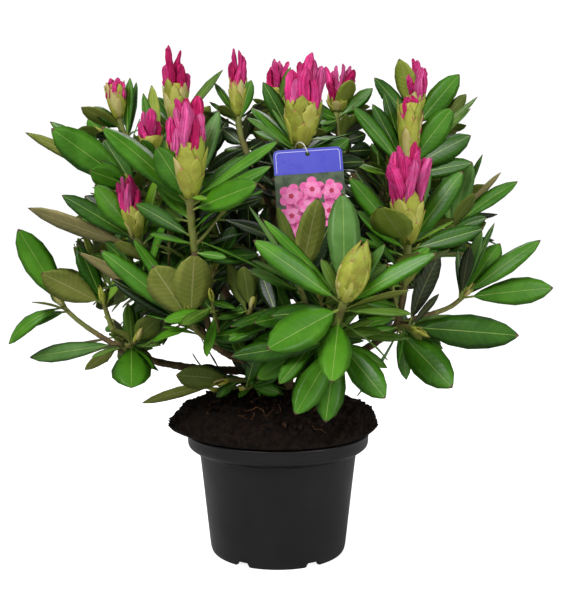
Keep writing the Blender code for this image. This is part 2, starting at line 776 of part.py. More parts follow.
def foliage(where, bark, label):
    """The boughs, and one mass of foliage at the end of each, clear of the label."""
    green = material("leaves", GREEN, 0.45)
    limbs = {}
    parts = {}
    workshops = {}
    for name, facts in MASSES.items():
        if facts["fork"]:
            limb = bough(name, facts, where, bark)
            mesh = mesh_of(limb)
            ends = bough_path(facts)[0]
            middle = (ends[0] + ends[-1]) / 2
            reach = (ends[-1] - ends[0]).length
            limbs[name, "bough"] = obstacle(middle, reach, tree_of(mesh))
            bpy.data.meshes.remove(mesh)
        workshops[name] = collection("pieces_" + name)
        parts[name] = mass_limbs(name, facts, workshops[name])
        for key, pieces in parts[name].items():
            for number, piece in enumerate(pieces):
                centre = sum((v.co for v in piece.data.vertices), Vector()) / len(piece.data.vertices)
                reach = max((v.co - centre).length for v in piece.data.vertices)
                limbs[name, key, number] = obstacle(centre, reach, tree_of(piece.data))
    limbs["trunk", 0] = obstacle(TRUNK_HEAD, 0.04, trunk_tree())
    for number, piece in enumerate(label):
        limbs["label", number] = obstacle(CARD_TOP, CARD_HEIGHT * 1.2, tree_of(mesh_of(piece)))
    grown = grow_leaves(limbs, [clear_space(*box) for box in KEPT_CLEAR])
    for name, leaves in grown.items():
        shop = workshops[name]
        for number, leaf in enumerate(leaves):
            leaf_object(f"leaf_{number}", leaf, shop)
        stem = parts[name]["stem"][0]
        shop.objects.unlink(stem)
        where.objects.link(stem)
        stem.name = "foliage_" + name
        unite(stem, shop)
        stem.data.materials.clear()
        stem.data.materials.append(green)
        round_shading(stem.data, 30)
    print("leaves:", sum(len(leaves) for leaves in grown.values()))


# Boxes that only the leaves that the front shows may enter: before the label, under the
# crown on the left, on the right and at the back, and over the peat.
KEPT_CLEAR = [
    ((-0.012, -0.30, 0.375), (0.074, -0.070, 0.468)),
    ((-0.320, -0.32, 0.100), (-0.095, 0.32, 0.214)),
    ((0.120, -0.32, 0.100), (0.320, 0.32, 0.210)),
    ((-0.095, 0.12, 0.100), (0.120, 0.32, 0.205)),
    ((-0.110, -0.11, 0.120), (0.110, 0.11, 0.184)),
]


def trunk_tree():
    shape = bmesh.new()
    bmesh.ops.create_uvsphere(shape, u_segments=8, v_segments=6, radius=HEAD_RADIUS + 0.006)
    bmesh.ops.translate(shape, verts=shape.verts, vec=TRUNK_HEAD)
    tree = BVHTree.FromBMesh(shape)
    shape.free()
    return tree


def trunk(where, bark):
    """A short leaning trunk: a root flare on the peat, a waist, and a knuckle that forks."""
    shares = (0.0, 0.18, 0.5, 1.0)
    radii = (FLARE_RADIUS, FLARE_RADIUS * 0.72, TRUNK_RADIUS, TRUNK_RADIUS)
    points = [TRUNK_FOOT.lerp(TRUNK_HEAD, s) for s in shares]
    points[1].x = TRUNK_FOOT.x
    obj = as_mesh(tube("trunk", points, radii, where, resolution=4), where)
    level = TRUNK_FOOT.z
    for vertex in obj.data.vertices:
        if vertex.co.z < level + 0.004:
            vertex.co.z = level
    knuckles = collection("knuckles")
    shape = bmesh.new()
    bmesh.ops.create_uvsphere(shape, u_segments=12, v_segments=8, radius=HEAD_RADIUS)
    bmesh.ops.translate(shape, verts=shape.verts, vec=TRUNK_HEAD)
    mesh = bpy.data.meshes.new("knuckle")
    shape.to_mesh(mesh)
    shape.free()
    add_object("knuckle", mesh, knuckles)
    unite(obj, knuckles)
    obj.data.materials.append(bark)
    round_shading(obj.data)


# Pot and peat


def pot(where, cutters):
    rim = POT_HEIGHT
    fold = POT_HEIGHT - COLLAR_HEIGHT
    collar = [
        (RIM_RADIUS - WALL, rim),
        (RIM_RADIUS, rim),
        (RIM_RADIUS - 0.0005, rim - 0.008),
        (RIM_RADIUS - 0.0030, rim - 0.0145),
        (RIM_RADIUS - 0.0085, rim - 0.0195),
        (BODY_TOP_RADIUS, fold),
    ]
    foot = [
        (BODY_FOOT_RADIUS, FOOT_ROUNDING),
        (BODY_FOOT_RADIUS - 0.0015, 0.0020),
        (BODY_FOOT_RADIUS - 0.0045, 0.0),
        (0.0, 0.0),
    ]
    inner_foot = BODY_FOOT_RADIUS - WALL
    inside = [
        (0.0, FLOOR),
        (inner_foot - 0.001, FLOOR),
        (BODY_TOP_RADIUS - WALL, fold),
        (RIM_RADIUS - 0.0085 - WALL, rim - 0.0185),
        (RIM_RADIUS - 0.0030 - WALL, rim - 0.0135),
    ]
    obj = turned("pot", inside + collar + foot, POT_SIDES, where)
    mesh = mesh_of(obj)
    obj.modifiers.clear()
    obj.data = mesh
    for i in range(NOTCHES):
        around = math.radians(60 * i + 60)
        shape = bmesh.new()
        bmesh.ops.create_cube(shape, size=1)
        bmesh.ops.scale(shape, verts=shape.verts, vec=(0.016, 0.030, 2 * NOTCH_HEIGHT * 0.4))
        cut = bpy.data.meshes.new("notch")
        shape.to_mesh(cut)
        shape.free()
        cutter = add_object(f"notch_{i}", cut, cutters)
        cutter.location = Vector((math.cos(around), math.sin(around), 0)) * (BODY_FOOT_RADIUS + 0.0035)
        cutter.rotation_euler.z = around
        cutter.hide_render = True
        cutter.display_type = "WIRE"
    cuts = obj.modifiers.new("notches", "BOOLEAN")
    cuts.operation = "DIFFERENCE"
    cuts.operand_type = "COLLECTION"
    cuts.collection = cutters
    cuts.solver = "EXACT"
    obj.data.materials.append(material("black_plastic", BLACK, 0.45))
    round_shading(obj.data)
    return obj


def peat(where):
    """The root ball: it fills the pot, and stands above the rim as a rough mound."""
    rim = POT_HEIGHT
    clear = WALL + 5 * GAP
    profile = [
        (0.0, MOUND_TOP),
        (0.026, MOUND_TOP),
        (0.064, MOUND_TOP - 0.004),
        (0.092, MOUND_LIP),
        (0.102, rim + 0.010),
        (0.106, rim + 0.002),
        (RIM_RADIUS - 0.0030 - clear, rim + 0.0008),
        (RIM_RADIUS - 0.0030 - clear, rim - 0.0135),
        (RIM_RADIUS - 0.0085 - clear, rim - 0.0185),
        (BODY_TOP_RADIUS - clear, rim - COLLAR_HEIGHT),
        (BODY_FOOT_RADIUS - clear, FLOOR + 0.005),
        (BODY_FOOT_RADIUS - clear - 0.005, FLOOR + GAP),
        (0.0, FLOOR + GAP),
    ]
    obj = turned("peat", profile, PEAT_SIDES, where)
    mesh = mesh_of(obj)
    obj.modifiers.clear()
    obj.data = mesh
    for vertex in mesh.vertices:
        flat = math.hypot(vertex.co.x, vertex.co.y)
        if vertex.co.z < POT_HEIGHT + 0.0005 or flat < 0.03:
            continue
        lump = noise.noise(vertex.co * 28)
        left = max(0.0, -vertex.co.x / flat) ** 2
        above = min(1.0, (vertex.co.z - POT_HEIGHT) / 0.010)
        outward = 1 + (SPILL * left * above * (flat / 0.1) ** 4 + 0.004 * lump * above) / flat
        vertex.co.x *= outward
        vertex.co.y *= outward
        if vertex.co.z > POT_HEIGHT + 0.009:
            vertex.co.z += 0.004 * lump
    obj.data.materials.append(material("peat", PEAT, 0.95))
    return obj


# Label


def card(where):
    """A thin card with round corners and a hole, hung before the middle bud's shoot."""
    curve = bpy.data.curves.new("label_card", "CURVE")
    curve.dimensions = "2D"
    curve.fill_mode = "BOTH"
    curve.extrude = CARD_THICKNESS / 2
    outline = []
    steps = 3
    centres = [
        (CARD_WIDTH / 2 - CARD_CORNER, -CARD_CORNER, 0),
        (-CARD_WIDTH / 2 + CARD_CORNER, -CARD_CORNER, 90),
        (-CARD_WIDTH / 2 + CARD_CORNER, -CARD_HEIGHT + CARD_CORNER, 180),
        (CARD_WIDTH / 2 - CARD_CORNER, -CARD_HEIGHT + CARD_CORNER, 270),
    ]
    for x, y, start in centres:
        for i in range(steps + 1):
            a = math.radians(start + 90 * i / steps)
            outline.append((x + CARD_CORNER * math.cos(a), y + CARD_CORNER * math.sin(a)))
    sides = 10
    hole = [
        (
            CARD_HOLE_RADIUS * math.cos(2 * math.pi * i / sides),
            -CARD_HOLE_DROP - CARD_HOLE_RADIUS * math.sin(2 * math.pi * i / sides),
        )
        for i in range(sides)
    ]
    for points in (outline, hole):
        spline = curve.splines.new("POLY")
        spline.points.add(len(points) - 1)
        for point, (x, y) in zip(spline.points, points):
            point.co = (x, y, 0, 1)
        spline.use_cyclic_u = True
    obj = add_object("label_card", curve, where, material("card", BLUE, 0.3))
    mesh = mesh_of(obj)
    mesh.transform(card_place())
    bpy.data.objects.remove(obj)
    return add_object("label_card", mesh, where)


def card_place():
    """The card's frame: its top edge's middle, x along the edge, y up the card."""
    swing = Matrix.Rotation(math.radians(-CARD_SWING), 4, "Y")
    tilt = Matrix.Rotation(math.radians(90 + CARD_TILT), 4, "X")
    return Matrix.Translation(CARD_TOP) @ swing @ tilt


# The tie's loop from the card's hole, in mm in the card's frame: across, up, and out of its
# face. It rises before the card, goes back over its edge and round the shoot under the
# middle bud, and returns behind the card.
TIE_LOOP = [(0, 1.5, 0), (-0.8, 4.5, 1.9), (-4, 11, 1.6), (-8.5, 15, -5), (-11, 16.8, -20),
            (-11.4, 17.7, -32), (-10.4, 18.9, -35.9), (-8, 19, -37.2), (-5.6, 17.9, -36.7),
            (-4.6, 16.4, -33), (-1.8, 12.5, -18), (0.3, 4.5, -4.5)]


def tie(where):
    place = card_place() @ Matrix.Translation((0, -CARD_HOLE_DROP, 0))
    knots = [place @ (Vector(p) * MM) for p in TIE_LOOP]
    count = len(knots)
    points = []
    for i in range(count):
        before, here, after, beyond = (knots[(i + k) % count] for k in (-1, 0, 1, 2))
        for share in (0.0, 0.5):
            points.append(hermite(here, (after - before) / 2, after, (beyond - here) / 2, share))
    obj = tube("label_tie", points, [TIE_RADIUS] * len(points), where, cyclic=True)
    obj.data.materials.append(material("tie", WHITE, 0.5))
    return obj


def main():
    clear_scene()
    plant = collection("potted_rhododendron")
    cutters = collection("cutters")
    bark = material("bark", BARK, 0.85)
    pot(plant, cutters)
    peat(plant)
    trunk(plant, bark)
    label = [card(plant), tie(plant)]
    foliage(plant, bark, label)


main()
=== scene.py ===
import math
import random

import bmesh
import bpy
import numpy as np
from mathutils import Matrix, Vector
from mathutils.bvhtree import BVHTree


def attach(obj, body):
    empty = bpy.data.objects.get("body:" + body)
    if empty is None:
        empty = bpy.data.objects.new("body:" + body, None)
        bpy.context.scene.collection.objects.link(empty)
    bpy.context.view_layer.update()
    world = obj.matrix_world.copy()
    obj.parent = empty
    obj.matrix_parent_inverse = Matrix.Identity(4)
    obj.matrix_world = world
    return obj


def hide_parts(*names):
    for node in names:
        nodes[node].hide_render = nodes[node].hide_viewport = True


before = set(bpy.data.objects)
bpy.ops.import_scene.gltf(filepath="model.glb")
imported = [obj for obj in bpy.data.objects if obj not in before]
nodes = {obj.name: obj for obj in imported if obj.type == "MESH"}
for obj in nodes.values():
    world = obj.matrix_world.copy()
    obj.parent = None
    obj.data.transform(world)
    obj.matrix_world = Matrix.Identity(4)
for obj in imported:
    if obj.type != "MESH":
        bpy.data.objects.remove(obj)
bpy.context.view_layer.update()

mm = 0.001
print("frame loaded,", len(nodes), "nodes")


# nodes of a shader tree

def feed(tree, node, feeds):
    # for each input, by name or number: a socket to link to it, or a plain value
    for label, value in feeds.items():
        if isinstance(value, bpy.types.NodeSocket):
            tree.links.new(value, node.inputs[label])
        else:
            node.inputs[label].default_value = value


def addNode(tree, kind, feeds=None, **settings):
    node = tree.nodes.new("ShaderNode" + kind)
    for key, value in settings.items():
        setattr(node, key, value)
    feed(tree, node, feeds or {})
    return node


def maths(tree, operation, *terms):
    return addNode(tree, "Math", dict(enumerate(terms)), operation=operation).outputs[0]


# camera, light and floor

# the camera as it was matched to the photo; focus and middle are in the photo's pixels, and
# axisScale is how many of them a metre takes up at the pot's axis
view = {"place": (0.008, -1.05, 0.376), "pitch": 4.72, "lens": 55.1, "sensor": 36,
        "focus": 919, "middle": (285, 300), "axisScale": 876}

camera = bpy.data.objects.new("camera", bpy.data.cameras.new("camera"))
bpy.context.collection.objects.link(camera)
camera.location = view["place"]
camera.rotation_euler = (math.radians(90 - view["pitch"]), 0, 0)
camera.data.sensor_width = view["sensor"]
camera.data.lens = view["lens"]
camera.data.clip_start = 0.01
bpy.context.scene.camera = camera

light = {"sky": 0.30, "backdrop": 1.05, "key": 34.0, "fill": 13.0, "back": 12.0, "floor": 0.55,
         "floorGlow": 0.90}
white = (1, 1, 1, 1)

# the sky lights the plant softly, and the camera sees a brighter backdrop in its place
world = bpy.data.worlds.new("studio")
bpy.context.scene.world = world
world.use_nodes = True
worldTree = world.node_tree
worldTree.nodes.clear()
rays = addNode(worldTree, "LightPath")
sky, backdrop = (addNode(worldTree, "Background", {"Color": white, "Strength": light[name]})
                 for name in ("sky", "backdrop"))
pick = addNode(worldTree, "MixShader", {"Fac": rays.outputs["Is Camera Ray"], 1: sky.outputs[0],
                                        2: backdrop.outputs[0]})
addNode(worldTree, "OutputWorld", {"Surface": pick.outputs[0]})


def addLamp(name, place, aim, size, power):
    lamp = bpy.data.objects.new(name, bpy.data.lights.new(name, "AREA"))
    lamp.data.shape = "RECTANGLE"
    lamp.data.size, lamp.data.size_y = size
    lamp.data.energy = power
    lamp.location = place
    way = Vector(aim) - Vector(place)
    lamp.rotation_euler = way.to_track_quat("-Z", "Y").to_euler()
    bpy.context.collection.objects.link(lamp)


addLamp("keyLight", (-0.9, -1.3, 1.75), (0, 0, 0.3), (1.1, 0.8), light["key"])
addLamp("fillLight", (1.3, -1.1, 0.9), (0, 0, 0.3), (0.9, 1.2), light["fill"])
addLamp("backLight", (0.2, 1.3, 1.6), (0, 0, 0.35), (1.4, 0.7), light["back"])
bpy.context.scene.view_settings.view_transform = "Standard"
print("camera and light set")


# surfaces as whole arrays

def smoothNoise(points, seed, size, layers=3):
    # a sum of sines along random directions; each layer has about half the size and height of
    # the one before
    rng = np.random.default_rng(seed)
    total = np.zeros(points.shape[:-1])
    for layer in range(layers):
        ways = rng.normal(size=(6, 3))
        ways /= np.linalg.norm(ways, axis=1, keepdims=True)
        phases = rng.uniform(0, 2 * np.pi, 6)
        reach = points @ ways.T * (2 * np.pi / size * 1.9**layer) + phases
        total += np.sin(reach).mean(axis=-1) * 1.6 / 1.8**layer
    return total


def unit(vectors):
    return vectors / np.maximum(np.linalg.norm(vectors, axis=-1, keepdims=True), 1e-12)


def closedBodies(rings, foot, tip):
    # rings (bodies, rings, sides, 3) joined side to side, and closed by a point at each end
    count, ringCount, sides = rings.shape[:3]
    each = ringCount * sides + 2
    points = np.concatenate([rings.reshape(count, -1, 3), foot[:, None], tip[:, None]], axis=1)
    ring, side = np.meshgrid(np.arange(ringCount - 1), np.arange(sides), indexing="ij")
    after = (side + 1) % sides
    low = ring * sides
    quads = np.stack([low + side, low + after, low + sides + after, low + sides + side], -1)
    side = np.arange(sides)
    after = (side + 1) % sides
    last = (ringCount - 1) * sides
    ends = np.stack(
        [
            np.stack([np.full(sides, each - 2), after, side], -1),
            np.stack([np.full(sides, each - 1), last + side, last + after], -1),
        ]
    )
    start = np.arange(count) * each
    quads = quads[None] + start[:, None, None, None]
    ends = ends[None] + start[:, None, None, None]
    return {"points": points.reshape(-1, 3), "quads": quads, "ends": ends}


def signedVolume(points, quads, ends):
    corners = np.concatenate(
        [quads.reshape(-1, 4)[:, [0, 1, 2]], quads.reshape(-1, 4)[:, [0, 2, 3]], ends.reshape(-1, 3)]
    )
    a, b, c = (points[corners[:, i]] for i in range(3))
    return float(np.einsum("ij,ij->i", a, np.cross(b, c)).sum() / 6)


def settlePiece(piece, slot, *replaced):
    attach(piece, "root")
    if replaced:
        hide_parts(*replaced)


def putPiece(name, slot, body, finishes, quadFinish=None, endFinish=None, uv=None, smooth=True,
             replaced=()):
    # quadFinish and endFinish are finish numbers, spread over the faces' own array shapes
    points, quads, ends = body["points"], body["quads"], body["ends"]
    if signedVolume(points - points.mean(axis=0), quads, ends) < 0:
        quads, ends = quads[..., ::-1], ends[..., ::-1]
    quadList = quads.reshape(-1, 4)
    endList = ends.reshape(-1, 3)
    mesh = bpy.data.meshes.new(name)
    mesh.vertices.add(len(points))
    mesh.vertices.foreach_set("co", points.astype(np.float32).ravel())
    corners = np.concatenate([quadList.ravel(), endList.ravel()]).astype(np.int32)
    mesh.loops.add(len(corners))
    mesh.loops.foreach_set("vertex_index", corners)
    starts = np.concatenate(
        [np.arange(len(quadList)) * 4, len(quadList) * 4 + np.arange(len(endList)) * 3]
    )
    mesh.polygons.add(len(starts))
    mesh.polygons.foreach_set("loop_start", starts.astype(np.int32))
    quadNumbers = np.broadcast_to(0 if quadFinish is None else quadFinish, quads.shape[:-1])
    endNumbers = np.broadcast_to(0 if endFinish is None else endFinish, ends.shape[:-1])
    numbers = np.concatenate([quadNumbers.ravel(), endNumbers.ravel()]).astype(np.int32)
    mesh.polygons.foreach_set("material_index", numbers)
    mesh.polygons.foreach_set("use_smooth", np.full(len(starts), smooth))
    if uv is not None:
        layer = mesh.uv_layers.new(name="place")
        layer.data.foreach_set("uv", uv[corners].astype(np.float32).ravel())
    for finish in finishes:
        mesh.materials.append(finish)
    mesh.update(calc_edges=True)
    mesh.validate()
    piece = bpy.data.objects.new(name, mesh)
    bpy.context.collection.objects.link(piece)
    settlePiece(piece, slot, *replaced)
    return piece


def tubeRings(paths, radii, sides, spin=0.0):
    # round sections of paths (bodies, points, 3): each section stands across the path's way
    ways = unit(np.gradient(paths, axis=1))
    overall = unit(paths[:, -1] - paths[:, 0])
    helper = np.where(np.abs(overall[:, 2:]) < 0.8, [[0.0, 0.0, 1.0]], [[1.0, 0.0, 0.0]])
    across = unit(np.cross(ways, helper[:, None]))
    other = np.cross(ways, across)
    turn = np.arange(sides) * 2 * np.pi / sides + spin
    circle = across[:, :, None] * np.cos(turn)[:, None] + other[:, :, None] * np.sin(turn)[:, None]
    return paths[:, :, None] + circle * radii[..., None, None], circle


# finishes: shared effects first

def srgb(red, green, blue):
    value = np.array([red, green, blue]) / 255
    linear = np.where(value <= 0.04045, value / 12.92, ((value + 0.055) / 1.055) ** 2.4)
    return (*linear.tolist(), 1.0)


def newGroup(name, inputs, outputs):
    group = bpy.data.node_groups.new(name, "ShaderNodeTree")
    for label, kind, value in inputs:
        socket = group.interface.new_socket(label, in_out="INPUT", socket_type="NodeSocket" + kind)
        socket.default_value = value
    for label, kind in outputs:
        group.interface.new_socket(label, in_out="OUTPUT", socket_type="NodeSocket" + kind)
    return group, group.nodes.new("NodeGroupInput").outputs, group.nodes.new("NodeGroupOutput")


def mixColour(tree, factor, first, second):
    # the colour inputs of a mix node are its sixth and seventh
    mix = addNode(tree, "Mix", data_type="RGBA")
    feed(tree, mix, {"Factor": factor, 6: first, 7: second})
    return mix.outputs[2]


def softStep(tree, value, low, high, toLow, toHigh):
    feeds = {"Value": value, "From Min": low, "From Max": high, "To Min": toLow, "To Max": toHigh}
    return addNode(tree, "MapRange", feeds, interpolation_type="SMOOTHSTEP").outputs["Result"]


def mapParts(tree):
    # a piece's own map, split into its way along and its way across
    place = addNode(tree, "UVMap", uv_map="place")
    return addNode(tree, "SeparateXYZ", {0: place.outputs["UV"]}).outputs


def mottleGroup():
    # two colours in soft patches, and a roughness that follows them
    group, entry, leave = newGroup(
        "mottle",
        [("Colour", "Color", (0.5, 0.5, 0.5, 1)), ("Patches", "Color", (0.4, 0.4, 0.4, 1)),
         ("Size", "Float", 20.0), ("Smooth", "Float", 0.4), ("Rough", "Float", 0.6)],
        [("Colour", "Color"), ("Roughness", "Float")],
    )
    place = addNode(group, "TexCoord").outputs["Object"]
    noise = addNode(group, "TexNoise", {"Vector": place, "Scale": entry["Size"], "Detail": 3})
    share = softStep(group, noise.outputs["Fac"], 0.35, 0.65, 0, 1)
    rough = addNode(group, "Mix", {"Factor": share, 2: entry["Smooth"], 3: entry["Rough"]})
    feed(group, leave, {"Colour": mixColour(group, share, entry["Colour"], entry["Patches"]),
                        "Roughness": rough.outputs[0]})
    return group


def grainGroup():
    # a fine relief of two sizes, as a height for a bump
    group, entry, leave = newGroup(
        "grain", [("Size", "Float", 300.0), ("Coarse", "Float", 0.3)], [("Height", "Float")]
    )
    place = addNode(group, "TexCoord").outputs["Object"]
    coarseSize = maths(group, "MULTIPLY", entry["Size"], entry["Coarse"])
    fine = addNode(group, "TexNoise", {"Vector": place, "Scale": entry["Size"], "Detail": 4})
    coarse = addNode(group, "TexNoise", {"Vector": place, "Scale": coarseSize})
    feed(group, leave, {"Height": maths(group, "ADD", fine.outputs["Fac"], coarse.outputs["Fac"])})
    return group


def veinGroup():
    # side veins of a blade, from its own map: along it in u, across it in v from 0 to 1.
    # a vein lies where count times u, less a slant times the distance from the rib, is whole
    group, entry, leave = newGroup(
        "sideVeins", [("Count", "Float", 13.0), ("Slant", "Float", 3.0), ("Rib", "Float", 0.0)],
        [("Vein", "Float"), ("Height", "Float")],
    )
    parts = mapParts(group)
    away = maths(group, "ABSOLUTE", maths(group, "SUBTRACT", parts["Y"], 0.5))
    along = maths(group, "MULTIPLY", parts["X"], entry["Count"])
    slant = maths(group, "MULTIPLY", away, entry["Slant"])
    wave = maths(group, "PINGPONG", maths(group, "SUBTRACT", along, slant), 0.5)
    side = softStep(group, wave, 0.0, 0.12, 0.4, 0)
    rib = maths(group, "LESS_THAN", away, entry["Rib"])
    feed(group, leave, {"Vein": maths(group, "MAXIMUM", side, rib),
                        "Height": softStep(group, wave, 0.0, 0.5, 0, 1)})
    return group


def foldsGroup():
    # long creases along a piece's own map: noise drawn out in u, as a mask of the grooves, where the
    # petals get painted shade, and a height
    group, entry, leave = newGroup(
        "folds", [("Across", "Float", 14.0), ("Along", "Float", 1.4)],
        [("Fold", "Float"), ("Height", "Float")],
    )
    parts = mapParts(group)
    stretched = addNode(group, "CombineXYZ", {
        "X": maths(group, "MULTIPLY", parts["X"], entry["Along"]),
        "Y": maths(group, "MULTIPLY", parts["Y"], entry["Across"])})
    noise = addNode(group, "TexNoise", {"Vector": stretched.outputs[0], "Scale": 1.0, "Detail": 2.0,
                                        "Distortion": 0.6})
    feed(group, leave, {"Fold": softStep(group, noise.outputs["Fac"], 0.44, 0.56, 1, 0),
                        "Height": softStep(group, noise.outputs["Fac"], 0.35, 0.65, 0, 1)})
    return group


folds = foldsGroup()
mottle = mottleGroup()
grain = grainGroup()
sideVeins = veinGroup()
finishFacts = {"coatRoughness": 0.25, "veinDepth": 0.0012, "reliefDepth": 0.001}


def bumped(tree, height, strength, depth, under):
    # a bump of the height, laid over the one under it if there is one
    feeds = {"Strength": strength, "Distance": depth, "Height": height}
    if under:
        feeds["Normal"] = under
    return addNode(tree, "Bump", feeds).outputs["Normal"]


def makeFinish(name, colour, patches, size=25.0, smooth=0.4, rough=0.6, relief=0.0,
               reliefSize=300.0, coarse=0.3, veins=0.0, veinAndFoldShadeColour=None, veinAndFoldShadeShare=0.1, rib=0.0,
               pattern=None, coat=0.0, specular=0.5):
    made = bpy.data.materials.new(name)
    made.use_nodes = True
    tree = made.node_tree
    tones = addNode(tree, "Group", node_tree=mottle)
    feed(tree, tones, {"Colour": srgb(*colour), "Patches": srgb(*patches), "Size": size,
                       "Smooth": smooth, "Rough": rough})
    looks = {"Base Color": tones.outputs["Colour"], "Roughness": tones.outputs["Roughness"],
             "Coat Weight": coat, "Coat Roughness": finishFacts["coatRoughness"],
             "Specular IOR Level": specular}
    normal = None
    if veins:
        # on leaves this mixes in the veins' own colour; on petals the folds' mask paints shade into the
        # grooves
        lines = addNode(tree, "Group", {} if pattern else {"Rib": rib}, node_tree=pattern or sideVeins)
        ink = addNode(tree, "RGB").outputs[0]
        ink.default_value = srgb(*veinAndFoldShadeColour)
        share = maths(tree, "MULTIPLY", lines.outputs[0], veinAndFoldShadeShare)
        looks["Base Color"] = mixColour(tree, share, tones.outputs["Colour"], ink)
        normal = bumped(tree, lines.outputs["Height"], veins, finishFacts["veinDepth"], None)
    if relief:
        pores = addNode(tree, "Group", {"Size": reliefSize, "Coarse": coarse}, node_tree=grain)
        normal = bumped(tree, pores.outputs["Height"], relief, finishFacts["reliefDepth"], normal)
    if normal:
        looks["Normal"] = normal
    feed(tree, tree.nodes["Principled BSDF"], looks)
    return made


# the floor is matt, and the camera sees it glow a little so that it runs into the backdrop
floorFinish = bpy.data.materials.new("paleFloor")
floorFinish.use_nodes = True
floorTree = floorFinish.node_tree
floorShader = floorTree.nodes["Principled BSDF"]
feed(floorTree, floorShader, {"Base Color": (light["floor"],) * 3 + (1,), "Roughness": 0.9})
floorRays = addNode(floorTree, "LightPath").outputs["Is Camera Ray"]
glow = maths(floorTree, "MULTIPLY", floorRays, light["floorGlow"])
floorGlow = addNode(floorTree, "Emission", {"Strength": glow})
floorSum = addNode(floorTree, "AddShader", {0: floorShader.outputs[0], 1: floorGlow.outputs[0]})
feed(floorTree, floorTree.nodes["Material Output"], {"Surface": floorSum.outputs[0]})
floorMesh = bpy.data.meshes.new("floor")
floorMesh.from_pydata([(-6, -3, 0), (6, -3, 0), (6, 9, 0), (-6, 9, 0)], [], [(0, 1, 2, 3)])
floorMesh.materials.append(floorFinish)
floor = bpy.data.objects.new("floor", floorMesh)
bpy.context.collection.objects.link(floor)
print("finishes ready")


# the source's rule of growth, with the same tables and the same random draws

plant = {
    "seed": 11, "leafLength": 0.092, "widthShare": 0.39, "petioleShare": 0.14,
    "petioleRadius": 0.0012, "thicknessShare": 0.013, "leafStep": 0.0023, "golden": 137.5,
    "shownTries": 12, "fillTries": 12, "fillRounds": 3, "olderLeaves": 2, "olderDrop": 0.088,
    "leastTilt": 32, "stemLength": 0.014, "boughRadius": 0.0048, "boughTip": 0.0036,
    "boughPieces": 5, "twigRadius": 0.0031, "twigTip": 0.0023, "twigPieces": 4, "gap": 0.0003,
    "budFoot": 0.004, "reachShare": 0.6, "fillDrops": (0.006, 0.036), "fillTilts": (42, 104),
    "olderTilts": (55, 90), "olderSpan": 0.012, "shrink": {"length": 0.35, "width": 0.30},
    "shownAside": 16, "fillAside": 26, "apart": 30, "sizes": (0.82, 1.1),
}
trunkFacts = {
    "foot": Vector((0.002, 0.006, 0.1723)), "head": Vector((0.005, 0.0, 0.207)),
    "headRadius": 0.0155,
}


def heading(clock, lean):
    # the clock turns from +X to +Z as seen from the front, the lean goes to the front
    turn, out = math.radians(clock), math.radians(lean)
    return Vector((math.cos(out) * math.cos(turn), -math.sin(out), math.cos(out) * math.sin(turn)))


def bearing(around, rise):
    turn, up = math.radians(around), math.radians(rise)
    return Vector((math.cos(up) * math.cos(turn), math.cos(up) * math.sin(turn), math.sin(up)))


def shoot(tip, axis, bud, leaves, shown=(), length=plant["leafLength"]):
    # axis is a clock and a lean; a row of shown is a leaf's clock, lean and length in mm, and
    # -1 where its underside shows; leaves is how many the shoot bears in all
    return {"tip": Vector(tip), "axis": heading(*axis), "bud": bud, "leaves": leaves,
            "shown": shown, "length": length}


def bud(length, width, cup, spread=0.0, petals=5):
    # in mm; cup is the share of the length that scales cover, spread the petals' lean in
    # degrees
    return {"length": length * mm, "width": width * mm, "cup": cup, "spread": spread,
            "petals": petals}


leafBud = bud(17, 7, 1.0, petals=0)

